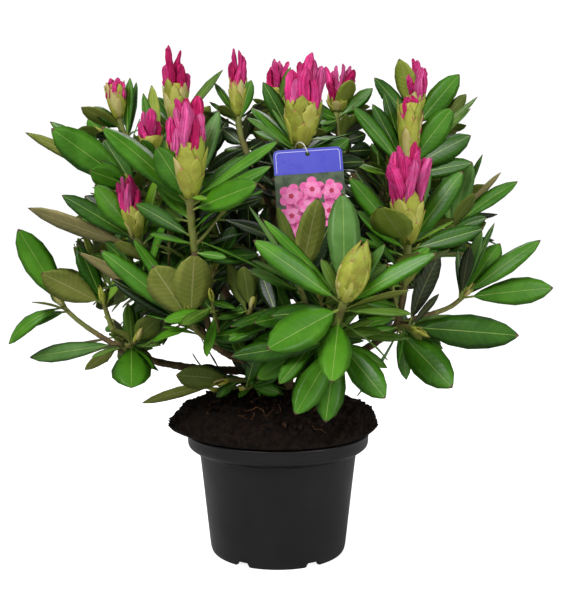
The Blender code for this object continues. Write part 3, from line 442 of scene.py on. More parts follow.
masses = {
    "left_low": {
        "fork": (-0.160, -0.055, 0.236),
        "leavesTrunk": (192, 2),
        "shoots": [
            shoot((-0.240, -0.030, 0.286), (125, 10), leafBud, 7,
                  ((120, 10, 86), (225, 14, 78), (196, 15, 62), (330, 55, 50)), 0.075),
            shoot((-0.188, -0.060, 0.292), (100, 15), leafBud, 7,
                  ((105, 40, 70), (155, 40, 85), (60, 45, 60)), 0.08),
            shoot((-0.182, -0.015, 0.262), (150, -20), leafBud, 7,
                  ((182, 0, 110), (165, -30, 90)), 0.08),
            shoot((-0.152, -0.072, 0.252), (60, 25), leafBud, 6,
                  ((318, 55, 84), (62, 30, 60), (95, 10, 70)), 0.078),
        ],
    },
    "left_top": {
        "fork": (-0.108, 0.010, 0.385),
        "leavesTrunk": (165, 50),
        "shoots": [
            shoot((-0.184, 0.020, 0.500), (95, 5), bud(45, 24, 0.78, 4, 4), 7,
                  ((172, 5, 46), (150, 15, 52), (45, -20, 55)), 0.062),
            shoot((-0.160, -0.045, 0.418), (125, 5), leafBud, 7,
                  ((149, 16, 112), (160, -14, 118), (147, -32, 108), (232, 20, 70))),
            shoot((-0.122, 0.050, 0.497), (88, 0), bud(86, 32, 0.5, 10), 8,
                  ((95, 0, 45), (55, -10, 60), (132, 10, 66)), 0.075),
            shoot((-0.138, -0.030, 0.460), (96, 10), bud(44, 27, 0.3, 8), 8,
                  ((110, -25, 72), (60, -20, 62), (200, 20, 60))),
        ],
    },
    "left_front": {
        "fork": (-0.060, -0.082, 0.243),
        "leavesTrunk": (236, 20),
        "shoots": [
            shoot((-0.087, -0.130, 0.406), (92, 8), bud(98, 40, 0.52, 6, 6), 11,
                  ((136, 12, 112), (121, 45, 88), (76, -28, 92), (33, 8, 104), (28, 38, 92),
                   (40, -45, 85), (150, 5, 60))),
            shoot((-0.146, -0.095, 0.366), (98, 12), bud(66, 25, 0.45, 5), 9,
                  ((130, 25, 74), (158, 12, 90), (146, -15, 84), (170, 20, 62), (35, 45, 70))),
            shoot((-0.088, -0.128, 0.280), (105, 20), leafBud, 8,
                  ((86, 32, 84, -1), (118, 40, 80, -1), (148, 22, 104), (30, 10, 60))),
            shoot((-0.026, -0.110, 0.292), (80, 10), leafBud, 6,
                  ((165, 25, 66), (60, 40, 70), (215, 35, 70)), 0.08),
        ],
    },
    "front": {
        "fork": (0.046, -0.118, 0.240),
        "leavesTrunk": (282, 8),
        "shoots": [
            shoot((0.064, -0.200, 0.308), (72, 12), bud(53, 31, 1.0, petals=0), 12,
                  ((145, 22, 100), (136, -15, 96), (217, 38, 96), (264, 42, 88), (25, 22, 92),
                   (7, -35, 78), (92, -28, 96), (66, -35, 58))),
            shoot((0.022, -0.150, 0.322), (95, 5), leafBud, 7,
                  ((96, 40, 70, -1), (125, 0, 62), (160, -10, 62))),
            shoot((0.062, -0.172, 0.262), (300, 50), leafBud, 7,
                  ((230, 40, 84), (256, 52, 80), (315, 42, 82), (190, 15, 92), (352, 40, 50))),
        ],
    },
    "right_low": {
        "fork": (0.116, -0.112, 0.266),
        "leavesTrunk": (322, 8),
        "shoots": [
            shoot((0.132, -0.120, 0.360), (92, 10), bud(100, 36, 0.48, 22, 6), 10,
                  ((140, 58, 86), (128, 25, 82), (56, -25, 96), (20, 18, 96), (72, -40, 85))),
            shoot((0.206, -0.040, 0.298), (50, 5), leafBud, 8,
                  ((2, 12, 98), (33, 18, 100), (58, -30, 88), (92, 30, 74))),
            shoot((0.136, -0.142, 0.272), (335, 30), leafBud, 6,
                  ((356, 8, 118), (330, 28, 84), (212, 40, 70))),
        ],
    },
    "right_mid": {
        "fork": (0.120, 0.010, 0.280),
        "leavesTrunk": (2, 16),
        "shoots": [
            shoot((0.204, 0.015, 0.376), (48, 5), leafBud, 10,
                  ((36, 15, 96), (14, -20, 80), (60, -20, 80), (28, -30, 84), (80, 10, 80))),
            shoot((0.070, -0.020, 0.340), (80, 5), leafBud, 8),
        ],
    },
    "right_top": {
        "fork": (0.102, 0.045, 0.370),
        "leavesTrunk": (20, 48),
        "shoots": [
            shoot((0.148, 0.000, 0.446), (90, 5), bud(76, 29, 0.85, 3, 5), 10,
                  ((28, 10, 88), (50, 12, 92), (136, 18, 80), (118, 0, 76), (100, -10, 78)), 0.08),
            shoot((0.168, 0.080, 0.512), (96, 0), bud(58, 25, 0.35, 10), 8,
                  ((60, 15, 62), (36, 8, 84), (128, -5, 66), (12, -10, 80)), 0.075),
            shoot((0.073, 0.120, 0.520), (82, 0), bud(50, 30, 0.3, 24, 4), 8,
                  ((20, 15, 66), (48, 25, 48), (150, 0, 66)), 0.065),
        ],
    },
    "centre_top": {
        "fork": (-0.002, -0.005, 0.365),
        "leavesTrunk": (270, 84),
        "shoots": [
            shoot((0.024, -0.050, 0.462), (85, 5), bud(98, 42, 0.46, 6, 7), 10,
                  ((125, -12, 76), (150, 8, 78), (146, -35, 70), (38, -8, 80), (30, 20, 62))),
            shoot((-0.047, 0.040, 0.504), (90, 0), bud(76, 22, 0.5, 4, 5), 8,
                  ((128, 10, 60), (152, 0, 58), (45, 10, 56), (168, 20, 70)), 0.065),
            shoot((-0.002, 0.110, 0.528), (86, 0), bud(46, 25, 0.35, 12, 5), 7,
                  ((25, 10, 56), (150, 10, 56)), 0.062),
        ],
    },
    "back_left": {
        "fork": (-0.098, 0.100, 0.290),
        "leavesTrunk": (138, 14),
        "shoots": [
            shoot((-0.205, 0.110, 0.405), (118, -25), bud(60, 28, 0.6, 8, 4), 8),
            shoot((-0.110, 0.175, 0.452), (98, -20), bud(72, 30, 0.5, 10, 4), 8),
            shoot((-0.225, 0.090, 0.300), (160, -25), leafBud, 8),
        ],
    },
    "back_mid": {
        "fork": (0.008, 0.132, 0.320),
        "leavesTrunk": (92, 32),
        "shoots": [
            shoot((0.020, 0.205, 0.455), (90, -22), bud(70, 30, 0.5, 8, 4), 9),
            shoot((-0.080, 0.225, 0.335), (125, -50), leafBud, 8),
            shoot((0.060, 0.245, 0.335), (65, -55), bud(50, 26, 1.0, petals=0), 8),
        ],
    },
    "back_right": {
        "fork": (0.108, 0.112, 0.280),
        "leavesTrunk": (48, 12),
        "shoots": [
            shoot((0.150, 0.175, 0.430), (75, -25), bud(68, 30, 0.55, 9, 4), 8),
            shoot((0.215, 0.120, 0.385), (40, -20), leafBud, 8),
            shoot((0.160, 0.200, 0.300), (40, -50), leafBud, 7),
        ],
    },
    "low_left": {
        "fork": None,
        "leavesTrunk": (222, -20),
        "shoots": [
            shoot((-0.056, -0.060, 0.206), (190, 35), leafBud, 4,
                  ((186, 30, 72), (200, 20, 62), (160, 10, 50)), 0.06),
        ],
    },
}
mainShoots = [(mass, index, one) for mass, facts in masses.items()
              for index, one in enumerate(facts["shoots"])]


def hermite(start, startWay, end, endWay, t):
    # the cubic that leaves start at t = 0 and meets end at t = 1 in the given ways
    return ((2 * t**3 - 3 * t**2 + 1) * start + (t**3 - 2 * t**2 + t) * startWay
            + (3 * t**2 - 2 * t**3) * end + (t**3 - t**2) * endWay)


def limbPath(start, startWay, end, endWay, pieces):
    reach = (end - start).length
    return [hermite(start, startWay * reach, end, endWay * reach * 0.8, i / pieces)
            for i in range(pieces + 1)]


def boughPath(facts, pieces=plant["boughPieces"]):
    # a bough's line and its way at the fork; a mass without a fork starts at the trunk
    out = bearing(*facts["leavesTrunk"])
    start = trunkFacts["head"] + out * (trunkFacts["headRadius"] + plant["gap"])
    if facts["fork"] is None:
        return [start], out
    fork = Vector(facts["fork"])
    endWay = ((fork - start).normalized() + Vector((0, 0, 0.35))).normalized()
    points = limbPath(start, out, fork, endWay, pieces)
    return points, (points[-1] - points[-2]).normalized()


def treeOf(mesh):
    return BVHTree.FromPolygons([v.co.copy() for v in mesh.vertices],
                                [tuple(p.vertices) for p in mesh.polygons])


def obstacle(centre, reach, tree):
    # what stands in a leaf's way: middle, reach, search tree, its blade's tree, its shoot
    return centre, reach, tree, tree, None


def tubeMesh(points, radii, resolution=0, cyclic=False):
    curve = bpy.data.curves.new("limb", "CURVE")
    curve.dimensions = "3D"
    curve.bevel_depth = 1.0
    curve.bevel_resolution = resolution
    curve.use_fill_caps = not cyclic
    spline = curve.splines.new("POLY")
    spline.points.add(len(points) - 1)
    for point, place, radius in zip(spline.points, points, radii):
        point.co = (*place, 1)
        point.radius = radius
    spline.use_cyclic_u = cyclic
    return bakedMesh(curve)


def bakedMesh(curve):
    # the curve's mesh with doubled points merged; nothing of the curve stays
    obj = bpy.data.objects.new("limb", curve)
    bpy.context.collection.objects.link(obj)
    bpy.context.view_layer.update()
    mesh = bpy.data.meshes.new_from_object(obj.evaluated_get(bpy.context.evaluated_depsgraph_get()))
    shape = bmesh.new()
    shape.from_mesh(mesh)
    bmesh.ops.remove_doubles(shape, verts=shape.verts, dist=1e-6)
    shape.to_mesh(mesh)
    shape.free()
    bpy.data.objects.remove(obj)
    bpy.data.curves.remove(curve)
    return mesh


def spindleMesh(foot, way, length, radii, sides):
    shape = bmesh.new()
    bmesh.ops.create_uvsphere(shape, u_segments=sides, v_segments=len(radii) + 1, radius=1)
    rings = sorted({round(v.co.z, 4) for v in shape.verts})
    across = way.orthogonal().normalized()
    across = (across - way * across.dot(way)).normalized()
    other = way.cross(across)
    for vertex in shape.verts:
        ring = rings.index(round(vertex.co.z, 4))
        radius = 0.0 if ring in (0, len(rings) - 1) else radii[ring - 1]
        turn = math.atan2(vertex.co.y, vertex.co.x)
        vertex.co = (foot + way * length * (ring / (len(rings) - 1))
                     + across * radius * math.cos(turn) + other * radius * math.sin(turn))
    bmesh.ops.recalc_face_normals(shape, faces=shape.faces)
    if shape.calc_volume(signed=True) < 0:
        bmesh.ops.reverse_faces(shape, faces=shape.faces)
    mesh = bpy.data.meshes.new("spindle")
    shape.to_mesh(mesh)
    shape.free()
    return mesh


def budSizes(one):
    # a bud's foot on its shoot, half its width, and its cup's height
    size = one["bud"]
    foot = one["tip"] - one["axis"] * plant["budFoot"]
    return foot, size["width"] / 2, size["length"] * size["cup"] + plant["budFoot"]


def budMeshes(one):
    # the shapes that stand in for a bud while the leaves find their places
    size, way = one["bud"], one["axis"]
    foot, half, cup = budSizes(one)
    if size is leafBud:
        shares = (0.8, 0.9)
    elif size["cup"] >= 0.95:
        shares = (0.55, 0.95, 0.92, 0.50)
    else:
        shares = (0.62, 1.0, 0.90)
    sides = 4 if size is leafBud else 6
    made = [spindleMesh(foot, way, cup * 1.1, [half * r for r in shares], sides)]
    across = way.orthogonal().normalized()
    for i in range(size["petals"]):
        out = Matrix.Rotation(2 * math.pi * i / max(size["petals"] - 1, 1), 3, way) @ across
        middle = i == size["petals"] - 1
        lean = 0.0 if middle else math.radians(size["spread"])
        petalWay = (way * math.cos(lean) + out * math.sin(lean)).normalized()
        root = foot + way * cup * 0.45 + out * half * (0.0 if middle else 0.48)
        reach = (size["length"] - cup * 0.45) * (1.0 if middle or i % 2 else 0.9)
        made.append(spindleMesh(root, petalWay, reach, [half * r for r in (0.46, 0.40)], 3))
    return made


shownRings = ((0.0, None), (plant["petioleShare"], None), (0.46, 1.0), (0.80, 0.74))
fillRings = ((0.0, None), (plant["petioleShare"], None), (0.58, 1.0))
# what a leaf's face looks to, as shares of its shoot's axis, the way out and upwards; how far it
# rolls aside, in degrees, and how much it curls
leafLooks = {
    "shown": {"along": 0.3, "out": 0.85, "up": 0.15, "roll": 12, "curl": (0.05, 0.35),
              "rings": shownRings},
    "fill": {"along": 0.7, "out": 0.42, "up": 0.15, "roll": 24, "curl": (0.05, 0.5),
             "rings": fillRings},
}


def leafLine(leaf, share):
    # an arc that bends down by the leaf's curl over its length, and its upward normal
    curl = leaf["curl"]
    turned = curl * share
    along, down = math.sin(turned) / curl, (1 - math.cos(turned)) / curl
    way, up = leaf["way"], leaf["up"]
    place = leaf["root"] + leaf["length"] * (along * way - down * up)
    return place, math.cos(turned) * up + math.sin(turned) * way


def leafTrees(leaf, grown=0.0009):
    # search trees of the whole leaf and of its blade: a keeled strip, grown by a gap
    side = leaf["way"].cross(leaf["up"])
    points = [leaf["root"] - leaf["way"] * 0.0008]
    for share, widthShare in leaf["rings"]:
        place, up = leafLine(leaf, share)
        if widthShare is None:
            half = plant["petioleRadius"]
            keel = -plant["petioleRadius"]
            lift = plant["petioleRadius"] * 0.7
        else:
            half = leaf["width"] / 2 * widthShare
            keel = -leaf["length"] * plant["thicknessShare"]
            lift = half * leaf["fold"]
        half += grown
        points += [place + side * half + up * lift, place - side * half + up * lift]
        points += [place + up * (keel - grown)]
    points.append(leafLine(leaf, 1.0)[0])
    last = 1 + 3 * len(leaf["rings"])
    faces = []
    for i in range(3):
        after = (i + 1) % 3
        faces.append((0, 1 + after, 1 + i))
        faces.append((last, last - 3 + i, last - 3 + after))
        for ring in range(len(leaf["rings"]) - 1):
            low = 1 + 3 * ring
            faces.append((low + i, low + after, low + 3 + after, low + 3 + i))
    faces = [f for f in faces if min(f) > 0]
    blade = [f for f in faces if min(f) > 3]
    return BVHTree.FromPolygons(points, faces), BVHTree.FromPolygons(points, blade)


def downShoot(one, distance):
    # the place on the shoot's path this far below its tip
    path = one["path"]
    for upper, lower in zip(reversed(path), reversed(path[:-1])):
        piece = (upper - lower).length
        if distance <= piece:
            return upper.lerp(lower, distance / piece)
        distance -= piece
    return path[0]


def leafAt(one, drop, way, length, rng, shown=0):
    # a leaf looks along its shoot and outward; one that the front shows looks to the front
    root = downShoot(one, drop)
    look = leafLooks["shown" if shown else "fill"]
    outward = Vector((0, -shown, 0) if shown else (one["tip"].x, one["tip"].y, 0)).normalized()
    facing = one["axis"] * look["along"] + outward * look["out"] + Vector((0, 0, look["up"]))
    curl = rng.uniform(*look["curl"])
    up = facing - way * facing.dot(way)
    up = (up if up.length > 0.05 else way.orthogonal()).normalized()
    up = Matrix.Rotation(math.radians(rng.uniform(-look["roll"], look["roll"])), 3, way) @ up
    lifted = Matrix.Rotation(curl / 2, 3, way.cross(up))
    return {"shoot": one, "root": root, "way": lifted @ way, "up": lifted @ up, "length": length,
            "width": length * plant["widthShare"] * rng.uniform(0.92, 1.10), "curl": curl,
            "fold": rng.uniform(0.02, 0.16), "rings": look["rings"], "shown": shown}


def turnedAside(leaf, rng, most):
    # by up to most degrees about its own three axes
    axes = (leaf["up"], leaf["way"].cross(leaf["up"]).normalized(), leaf["way"])
    spin, nod, roll = (Matrix.Rotation(math.radians(rng.uniform(-most, most)), 3, axis)
                       for axis in axes)
    moved = dict(leaf)
    moved["way"] = (nod @ spin @ leaf["way"]).normalized()
    up = roll @ nod @ spin @ leaf["up"]
    moved["up"] = (up - moved["way"] * up.dot(moved["way"])).normalized()
    return moved


def leafObstacle(leaf):
    # its middle, reach, search tree, blade's tree and shoot
    return leafLine(leaf, 0.5)[0], leaf["length"] * plant["reachShare"], *leafTrees(leaf), leaf["shoot"]


def settle(leaf, taken, rng, tries, most):
    # turned aside and made smaller until nothing is in its way, or left out
    candidate = leaf
    for attempt in range(tries):
        place = leafObstacle(candidate)
        centre, _, whole, blade, _ = place
        free = True
        for at, reach, other, otherBlade, shootOf in taken:
            if (at - centre).length > reach + leaf["length"] * plant["reachShare"]:
                continue
            own = shootOf is leaf["shoot"]
            if blade.overlap(otherBlade) if own else whole.overlap(other):
                free = False
                break
        if free:
            return candidate, place
        candidate = turnedAside(leaf, rng, most * (attempt + 1) / tries)
        for side, loss in plant["shrink"].items():
            candidate[side] = leaf[side] * (1 - loss * (attempt + 1) / tries)
    return None


def pathLength(one):
    return sum((b - a).length for a, b in zip(one["path"], one["path"][1:]))


def shootObstacles(limbs, mass, index):
    return [entry for key, entry in limbs.items() if key[:2] not in ((mass, index), (mass, "stem"))]


def offTheBud(one, way):
    least = math.radians(plant["leastTilt"])
    tilt = way.angle(one["axis"])
    if tilt >= least:
        return way
    side = one["axis"].cross(way)
    side = side if side.length > 0.01 else one["axis"].orthogonal()
    return Matrix.Rotation(least - tilt, 3, side.normalized()) @ way


def shownLeaves(one, taken, walls, rng):
    leaves = []
    order = sorted(one["shown"], key=lambda s: heading(s[0], s[1]).angle(one["axis"]))
    for place, (clock, lean, length, *side) in enumerate(order):
        way = offTheBud(one, heading(clock, lean))
        drop = 0.005 + plant["leafStep"] * place
        leaf = leafAt(one, drop, way, length * mm, rng, side[0] if side else 1)
        found = settle(leaf, taken + walls, rng, plant["shownTries"], plant["shownAside"])
        if found:
            leaves.append(found[0])
            taken.append(found[1])
    return leaves


def whorl(one, leaves, most, drops, tilts, taken, walls, rng, apart=plant["apart"],
          sizes=plant["sizes"], passed=None):
    # up to most leaves by the golden angle, between two distances down from the tip; what is
    # passed over stands in no leaf's way
    start = rng.uniform(0, 2 * math.pi)
    rounds = plant["fillRounds"] * max(most - len(leaves), 0)
    field = [entry for entry in taken + walls if entry is not passed]
    for k in range(rounds):
        if len(leaves) >= most:
            break
        share = k / rounds
        drop = min(drops[0] + (drops[1] - drops[0]) * share, pathLength(one) - 0.006)
        axis = (downShoot(one, drop - 0.004) - downShoot(one, drop + 0.004)).normalized()
        turn = start + math.radians(plant["golden"]) * k
        out = Matrix.Rotation(turn, 3, axis) @ axis.orthogonal().normalized()
        tilt = math.radians(tilts[0] + (tilts[1] - tilts[0]) * share + rng.uniform(-8, 8))
        way = axis * math.cos(tilt) + out * math.sin(tilt)
        if any(way.angle(other["way"]) < math.radians(apart) for other in leaves):
            continue
        leaf = leafAt(one, drop, way, one["length"] * rng.uniform(*sizes), rng)
        found = settle(leaf, field, rng, plant["fillTries"], plant["fillAside"])
        if found:
            leaves.append(found[0])
            field.append(found[1])
            taken.append(found[1])
    return leaves


def growLeaves(limbs, keptClear):
    rng = random.Random(plant["seed"])
    taken, grown, tips = [], [], {}
    for mass, index, one in mainShoots:
        tips[mass, index] = shownLeaves(one, taken, shootObstacles(limbs, mass, index), rng)
        grown += tips[mass, index]
    for mass, index, one in mainShoots:
        walls = shootObstacles(limbs, mass, index) + keptClear
        before = len(tips[mass, index])
        whorl(one, tips[mass, index], one["leaves"], plant["fillDrops"], plant["fillTilts"], taken,
              walls, rng)
        grown += tips[mass, index][before:]
    for mass, index, one in mainShoots:
        if pathLength(one) > plant["olderDrop"] + 0.02:
            walls = shootObstacles(limbs, mass, index) + keptClear
            drops = (plant["olderDrop"] - plant["olderSpan"], plant["olderDrop"] + plant["olderSpan"])
            grown += whorl(one, [], plant["olderLeaves"], drops, plant["olderTilts"], taken, walls,
                           rng)
    return grown


def clearSpace(low, high):
    shape = bmesh.new()
    bmesh.ops.create_cube(shape, size=1)
    low, high = Vector(low), Vector(high)
    for vertex in shape.verts:
        vertex.co = Vector(low[i] + (vertex.co[i] + 0.5) * (high[i] - low[i]) for i in range(3))
    bmesh.ops.subdivide_edges(shape, edges=shape.edges, cuts=2, use_grid_fill=True)
    shape.verts.ensure_lookup_table()
    tree = BVHTree.FromBMesh(shape)
    shape.free()
    return obstacle((low + high) / 2, (high - low).length / 2, tree)


def addLimb(limbs, key, mesh):
    centre = sum((v.co for v in mesh.vertices), Vector()) / len(mesh.vertices)
    reach = max((v.co - centre).length for v in mesh.vertices)
    limbs[key] = obstacle(centre, reach, treeOf(mesh))
    bpy.data.meshes.remove(mesh)


def tapered(first, last, pieces):
    # radii that change evenly from the first to the last
    return [first - (first - last) / pieces * i for i in range(pieces + 1)]


def limbsOf(name, facts, limbs):
    points, way = boughPath(facts)
    if facts["fork"]:
        radii = tapered(plant["boughRadius"], plant["boughTip"], plant["boughPieces"])
        mesh = tubeMesh(points, radii, 1)
        middle, reach = (points[0] + points[-1]) / 2, (points[-1] - points[0]).length
        limbs[name, "bough"] = obstacle(middle, reach, treeOf(mesh))
        bpy.data.meshes.remove(mesh)
    foot = points[-1] + way * (plant["gap"] if facts["fork"] else 0.0)
    stem = [foot, foot + way * plant["stemLength"] * 0.5, foot + way * plant["stemLength"]]
    stemRadii = [plant["boughTip"], plant["boughTip"], plant["twigRadius"]]
    addLimb(limbs, (name, "stem", 0), tubeMesh(stem, stemRadii, 1))
    facts["stem"] = (foot, way)
    for index, one in enumerate(facts["shoots"]):
        start = foot + way * plant["stemLength"] * 0.6
        startWay = ((one["tip"] - start).normalized() + way * 0.5).normalized()
        one["path"] = limbPath(start, startWay, one["tip"], one["axis"], plant["twigPieces"])
        one["finePath"] = limbPath(start, startWay, one["tip"], one["axis"], 14)
        radii = tapered(plant["twigRadius"], plant["twigTip"], plant["twigPieces"])
        for number, mesh in enumerate([tubeMesh(one["path"], radii), *budMeshes(one)]):
            addLimb(limbs, (name, index, number), mesh)


# boxes that only the leaves that the front shows may enter: before the label, under the
# crown on the left, on the right and at the back, and over the peat
clearBoxes = [
    ((-0.012, -0.30, 0.375), (0.074, -0.070, 0.468)),
    ((-0.320, -0.32, 0.100), (-0.095, 0.32, 0.214)),
    ((0.120, -0.32, 0.100), (0.320, 0.32, 0.210)),
    ((-0.095, 0.12, 0.100), (0.120, 0.32, 0.205)),
    ((-0.110, -0.11, 0.120), (0.110, 0.11, 0.184)),
]

cardFacts = {
    "width": 0.072, "height": 0.112, "thickness": 0.0009, "corner": 0.006, "holeRadius": 0.0025,
    "holeDrop": 0.006, "top": Vector((0.031, -0.084, 0.4545)), "swing": 4.0, "tilt": -14.0,
    "tieRadius": 0.0006,
    "tieLoop": [(0, 1.5, 0), (-0.8, 4.5, 1.9), (-4, 11, 1.6), (-8.5, 15, -5), (-11, 16.8, -20),
                (-11.4, 17.7, -32), (-10.4, 18.9, -35.9), (-8, 19, -37.2), (-5.6, 17.9, -36.7),
                (-4.6, 16.4, -33), (-1.8, 12.5, -18), (0.3, 4.5, -4.5)],
}


def cardPlace():
    # the card's frame: the middle of its top edge, x along the edge, y up the card
    swing = Matrix.Rotation(math.radians(-cardFacts["swing"]), 4, "Y")
    tilt = Matrix.Rotation(math.radians(90 + cardFacts["tilt"]), 4, "X")
    return Matrix.Translation(cardFacts["top"]) @ swing @ tilt


def cardOutline(steps, inset=0.0, corner=cardFacts["corner"]):
    # the card's edge: four quarter circles joined by straight sides, anticlockwise
    side = cardFacts["width"] / 2 - inset - corner
    upper, lower = -inset - corner, -(cardFacts["height"] - inset) + corner
    points = []
    for x, y, start in ((side, upper, 0), (-side, upper, 90), (-side, lower, 180), (side, lower, 270)):
        for i in range(steps + 1):
            turn = math.radians(start + 90 * i / steps)
            points.append((x + corner * math.cos(turn), y + corner * math.sin(turn)))
    return points


def cardHole(sides):
    radius, drop = cardFacts["holeRadius"], cardFacts["holeDrop"]
    turns = [2 * math.pi * i / sides for i in range(sides)]
    return [(radius * math.cos(turn), -drop - radius * math.sin(turn)) for turn in turns]


def sheetMesh(loops, thickness, above=0.0):
    # a flat sheet in the card's frame: a filled curve given a thickness
    curve = bpy.data.curves.new("card", "CURVE")
    curve.dimensions = "2D"
    curve.fill_mode = "BOTH"
    curve.extrude = thickness / 2
    for points in loops:
        spline = curve.splines.new("POLY")
        spline.points.add(len(points) - 1)
        for point, (x, y) in zip(spline.points, points):
            point.co = (x, y, 0, 1)
        spline.use_cyclic_u = True
    mesh = bakedMesh(curve)
    mesh.transform(cardPlace() @ Matrix.Translation((0, 0, above)))
    return mesh


def tiePoints(shares):
    place = cardPlace() @ Matrix.Translation((0, -cardFacts["holeDrop"], 0))
    knots = [place @ (Vector(p) * mm) for p in cardFacts["tieLoop"]]
    count = len(knots)
    points = []
    for i in range(count):
        before, here, after, beyond = (knots[(i + k) % count] for k in (-1, 0, 1, 2))
        for share in shares:
            points.append(hermite(here, (after - before) / 2, after, (beyond - here) / 2, share))
    return points


limbs = {}
for name, facts in masses.items():
    limbsOf(name, facts, limbs)
shape = bmesh.new()
bmesh.ops.create_uvsphere(shape, u_segments=8, v_segments=6, radius=trunkFacts["headRadius"] + 0.006)
bmesh.ops.translate(shape, verts=shape.verts, vec=trunkFacts["head"])
limbs["trunk", 0] = obstacle(trunkFacts["head"], 0.04, BVHTree.FromBMesh(shape))
shape.free()
loop = tiePoints((0.0, 0.5))
for number, mesh in enumerate([sheetMesh([cardOutline(3), cardHole(10)], cardFacts["thickness"]),
                               tubeMesh(loop, [cardFacts["tieRadius"]] * len(loop), cyclic=True)]):
    limbs["label", number] = obstacle(cardFacts["top"], cardFacts["height"] * 1.2, treeOf(mesh))
    bpy.data.meshes.remove(mesh)
keptClear = [clearSpace(*box) for box in clearBoxes]
leaves = growLeaves(limbs, keptClear)
print("leaves of the source's rule:", len(leaves))


# finer growth: side shoots between the source's, and leaves down every twig

finer = {
    "seed": 23, "sideShoots": 2, "sideDrops": (0.034, 0.120), "sideLengths": (0.034, 0.062),
    "sideTilts": (32, 68), "sideLeaf": 0.070, "sideLeaves": 7, "shortest": 0.06,
    "twigRadius": 0.0019, "apart": 24, "inside": 16, "insideTop": 0.06, "insideApart": 16,
    "tries": 14, "insideSeed": 29, "seenSeed": 3, "againSeed": 4, "headOn": 0.85,
    "againAside": 30, "seenTries": (6, 5),
    "bare": {("left_low", 0), ("left_low", 1), ("right_low", 1)},
}
# whorls of finer leaves: the distances down the shoot, the tilts and the sizes
sideWhorl = ((0.004, 0.030), (40, 100), (0.75, 1.1))
mainWhorls = {4: ((0.008, 0.034), (45, 96), (0.6, 0.95)), 9: ((0.030, 0.085), (48, 98), (0.62, 0.95))}
insideTilts, insideSizes = (40, 110), (0.6, 0.95)
leafShape = {
    "stations": (0.0, 0.14, 0.22, 0.38, 0.56, 0.74, 0.88, 0.970),
    "widths": (None, None, 0.42, 0.80, 1.0, 0.92, 0.62, 0.20), "narrow": 0.82,
    "thin": 0.00045, "ribWidth": 0.0009, "ribDrop": 0.00035, "droop": (0.06, 0.24),
    "wave": 0.05, "twist": 12, "skew": 0.07, "toneSeed": 5,
}
sideBud = bud(11, 5, 1.0, petals=0)


def shaftTree(places, way):
    # a square shaft of 3 mm half width round the places, open at both ends
    side = way.orthogonal().normalized() * 0.003
    other = way.cross(side).normalized() * 0.003
    points = [place + corner for place in places for corner in (side, other, -side, -other)]
    quads = []
    for low in range(0, len(points) - 4, 4):
        for i in range(4):
            after = (i + 1) % 4
            quads.append((low + i, low + after, low + 4 + after, low + 4 + i))
    return BVHTree.FromPolygons(points, quads)


def sideShoot(parent, rng, field):
    # a short twig that bends up from its parent, where the way is free
    drop = min(rng.uniform(*finer["sideDrops"]), pathLength(parent) - 0.012)
    start = downShoot(parent, drop)
    axis = (downShoot(parent, max(drop - 0.006, 0)) - downShoot(parent, drop + 0.006)).normalized()
    outward = Vector((start.x, start.y - 0.01, 0)).normalized()
    for attempt in range(finer["tries"]):
        tilt = math.radians(rng.uniform(*finer["sideTilts"]))
        out = Matrix.Rotation(rng.uniform(0, 2 * math.pi), 3, axis) @ axis.orthogonal().normalized()
        out = (out + outward * 0.5).normalized()
        way = (axis * math.cos(tilt) + out * math.sin(tilt)).normalized()
        length = rng.uniform(*finer["sideLengths"])
        end = start + way * length + Vector((0, 0, 0.006))
        endWay = (way + Vector((0, 0, 0.45))).normalized()
        path = limbPath(start, way, end, endWay, 4)
        tree = shaftTree(path[1:] + [end + endWay * 0.011], endWay)
        middle = (start + end) / 2
        if not any((at - middle).length < reach + length and tree.overlap(other)
                   for at, reach, other, _, shootOf in field if shootOf is not parent):
            made = shoot(end, (0, 0), sideBud, finer["sideLeaves"], (), finer["sideLeaf"])
            made["axis"] = endWay
            made["path"] = path
            made["finePath"] = limbPath(start, way, end, endWay, 8)
            return made, obstacle(middle, length, tree)
    return None


def growFiner(limbs, taken, keptClear):
    rng = random.Random(finer["seed"])
    sides = []
    extra = []
    everything = list(limbs.values()) + keptClear
    for mass, index, one in mainShoots:
        bare = (mass, index) in finer["bare"] or pathLength(one) < finer["shortest"]
        for number in range(0 if bare else finer["sideShoots"]):
            walls = shootObstacles(limbs, mass, index) + keptClear
            found = sideShoot(one, rng, taken + walls)
            if found:
                sides.append(found)
                limbs["side", len(sides), 0] = found[1]
                taken.append(found[1])
    drops, tilts, sizes = sideWhorl
    for one, own in sides:
        extra += whorl(one, [], one["leaves"], drops, tilts, taken, everything, rng,
                       finer["apart"], sizes, own)
    for mass, index, one in mainShoots:
        if (mass, index) in finer["bare"]:
            continue
        walls = shootObstacles(limbs, mass, index) + keptClear
        for most, (drops, tilts, sizes) in mainWhorls.items():
            extra += whorl(one, [], most, drops, tilts, taken, walls, rng, finer["apart"], sizes)
    return extra, [one for one, own in sides]


def fillInside(limbs, taken, keptClear):
    # leaves on the lower stretch of every twig, turned any way, that close the inside
    rng = random.Random(finer["insideSeed"])
    grown = []
    for mass, index, one in mainShoots:
        if (mass, index) in finer["bare"]:
            continue
        reach = pathLength(one)
        drops = (min(finer["insideTop"], reach * 0.5), reach - 0.008)
        walls = shootObstacles(limbs, mass, index) + keptClear
        grown += whorl(one, [], finer["inside"], drops, insideTilts, taken, walls, rng,
                       finer["insideApart"], insideSizes)
    return grown
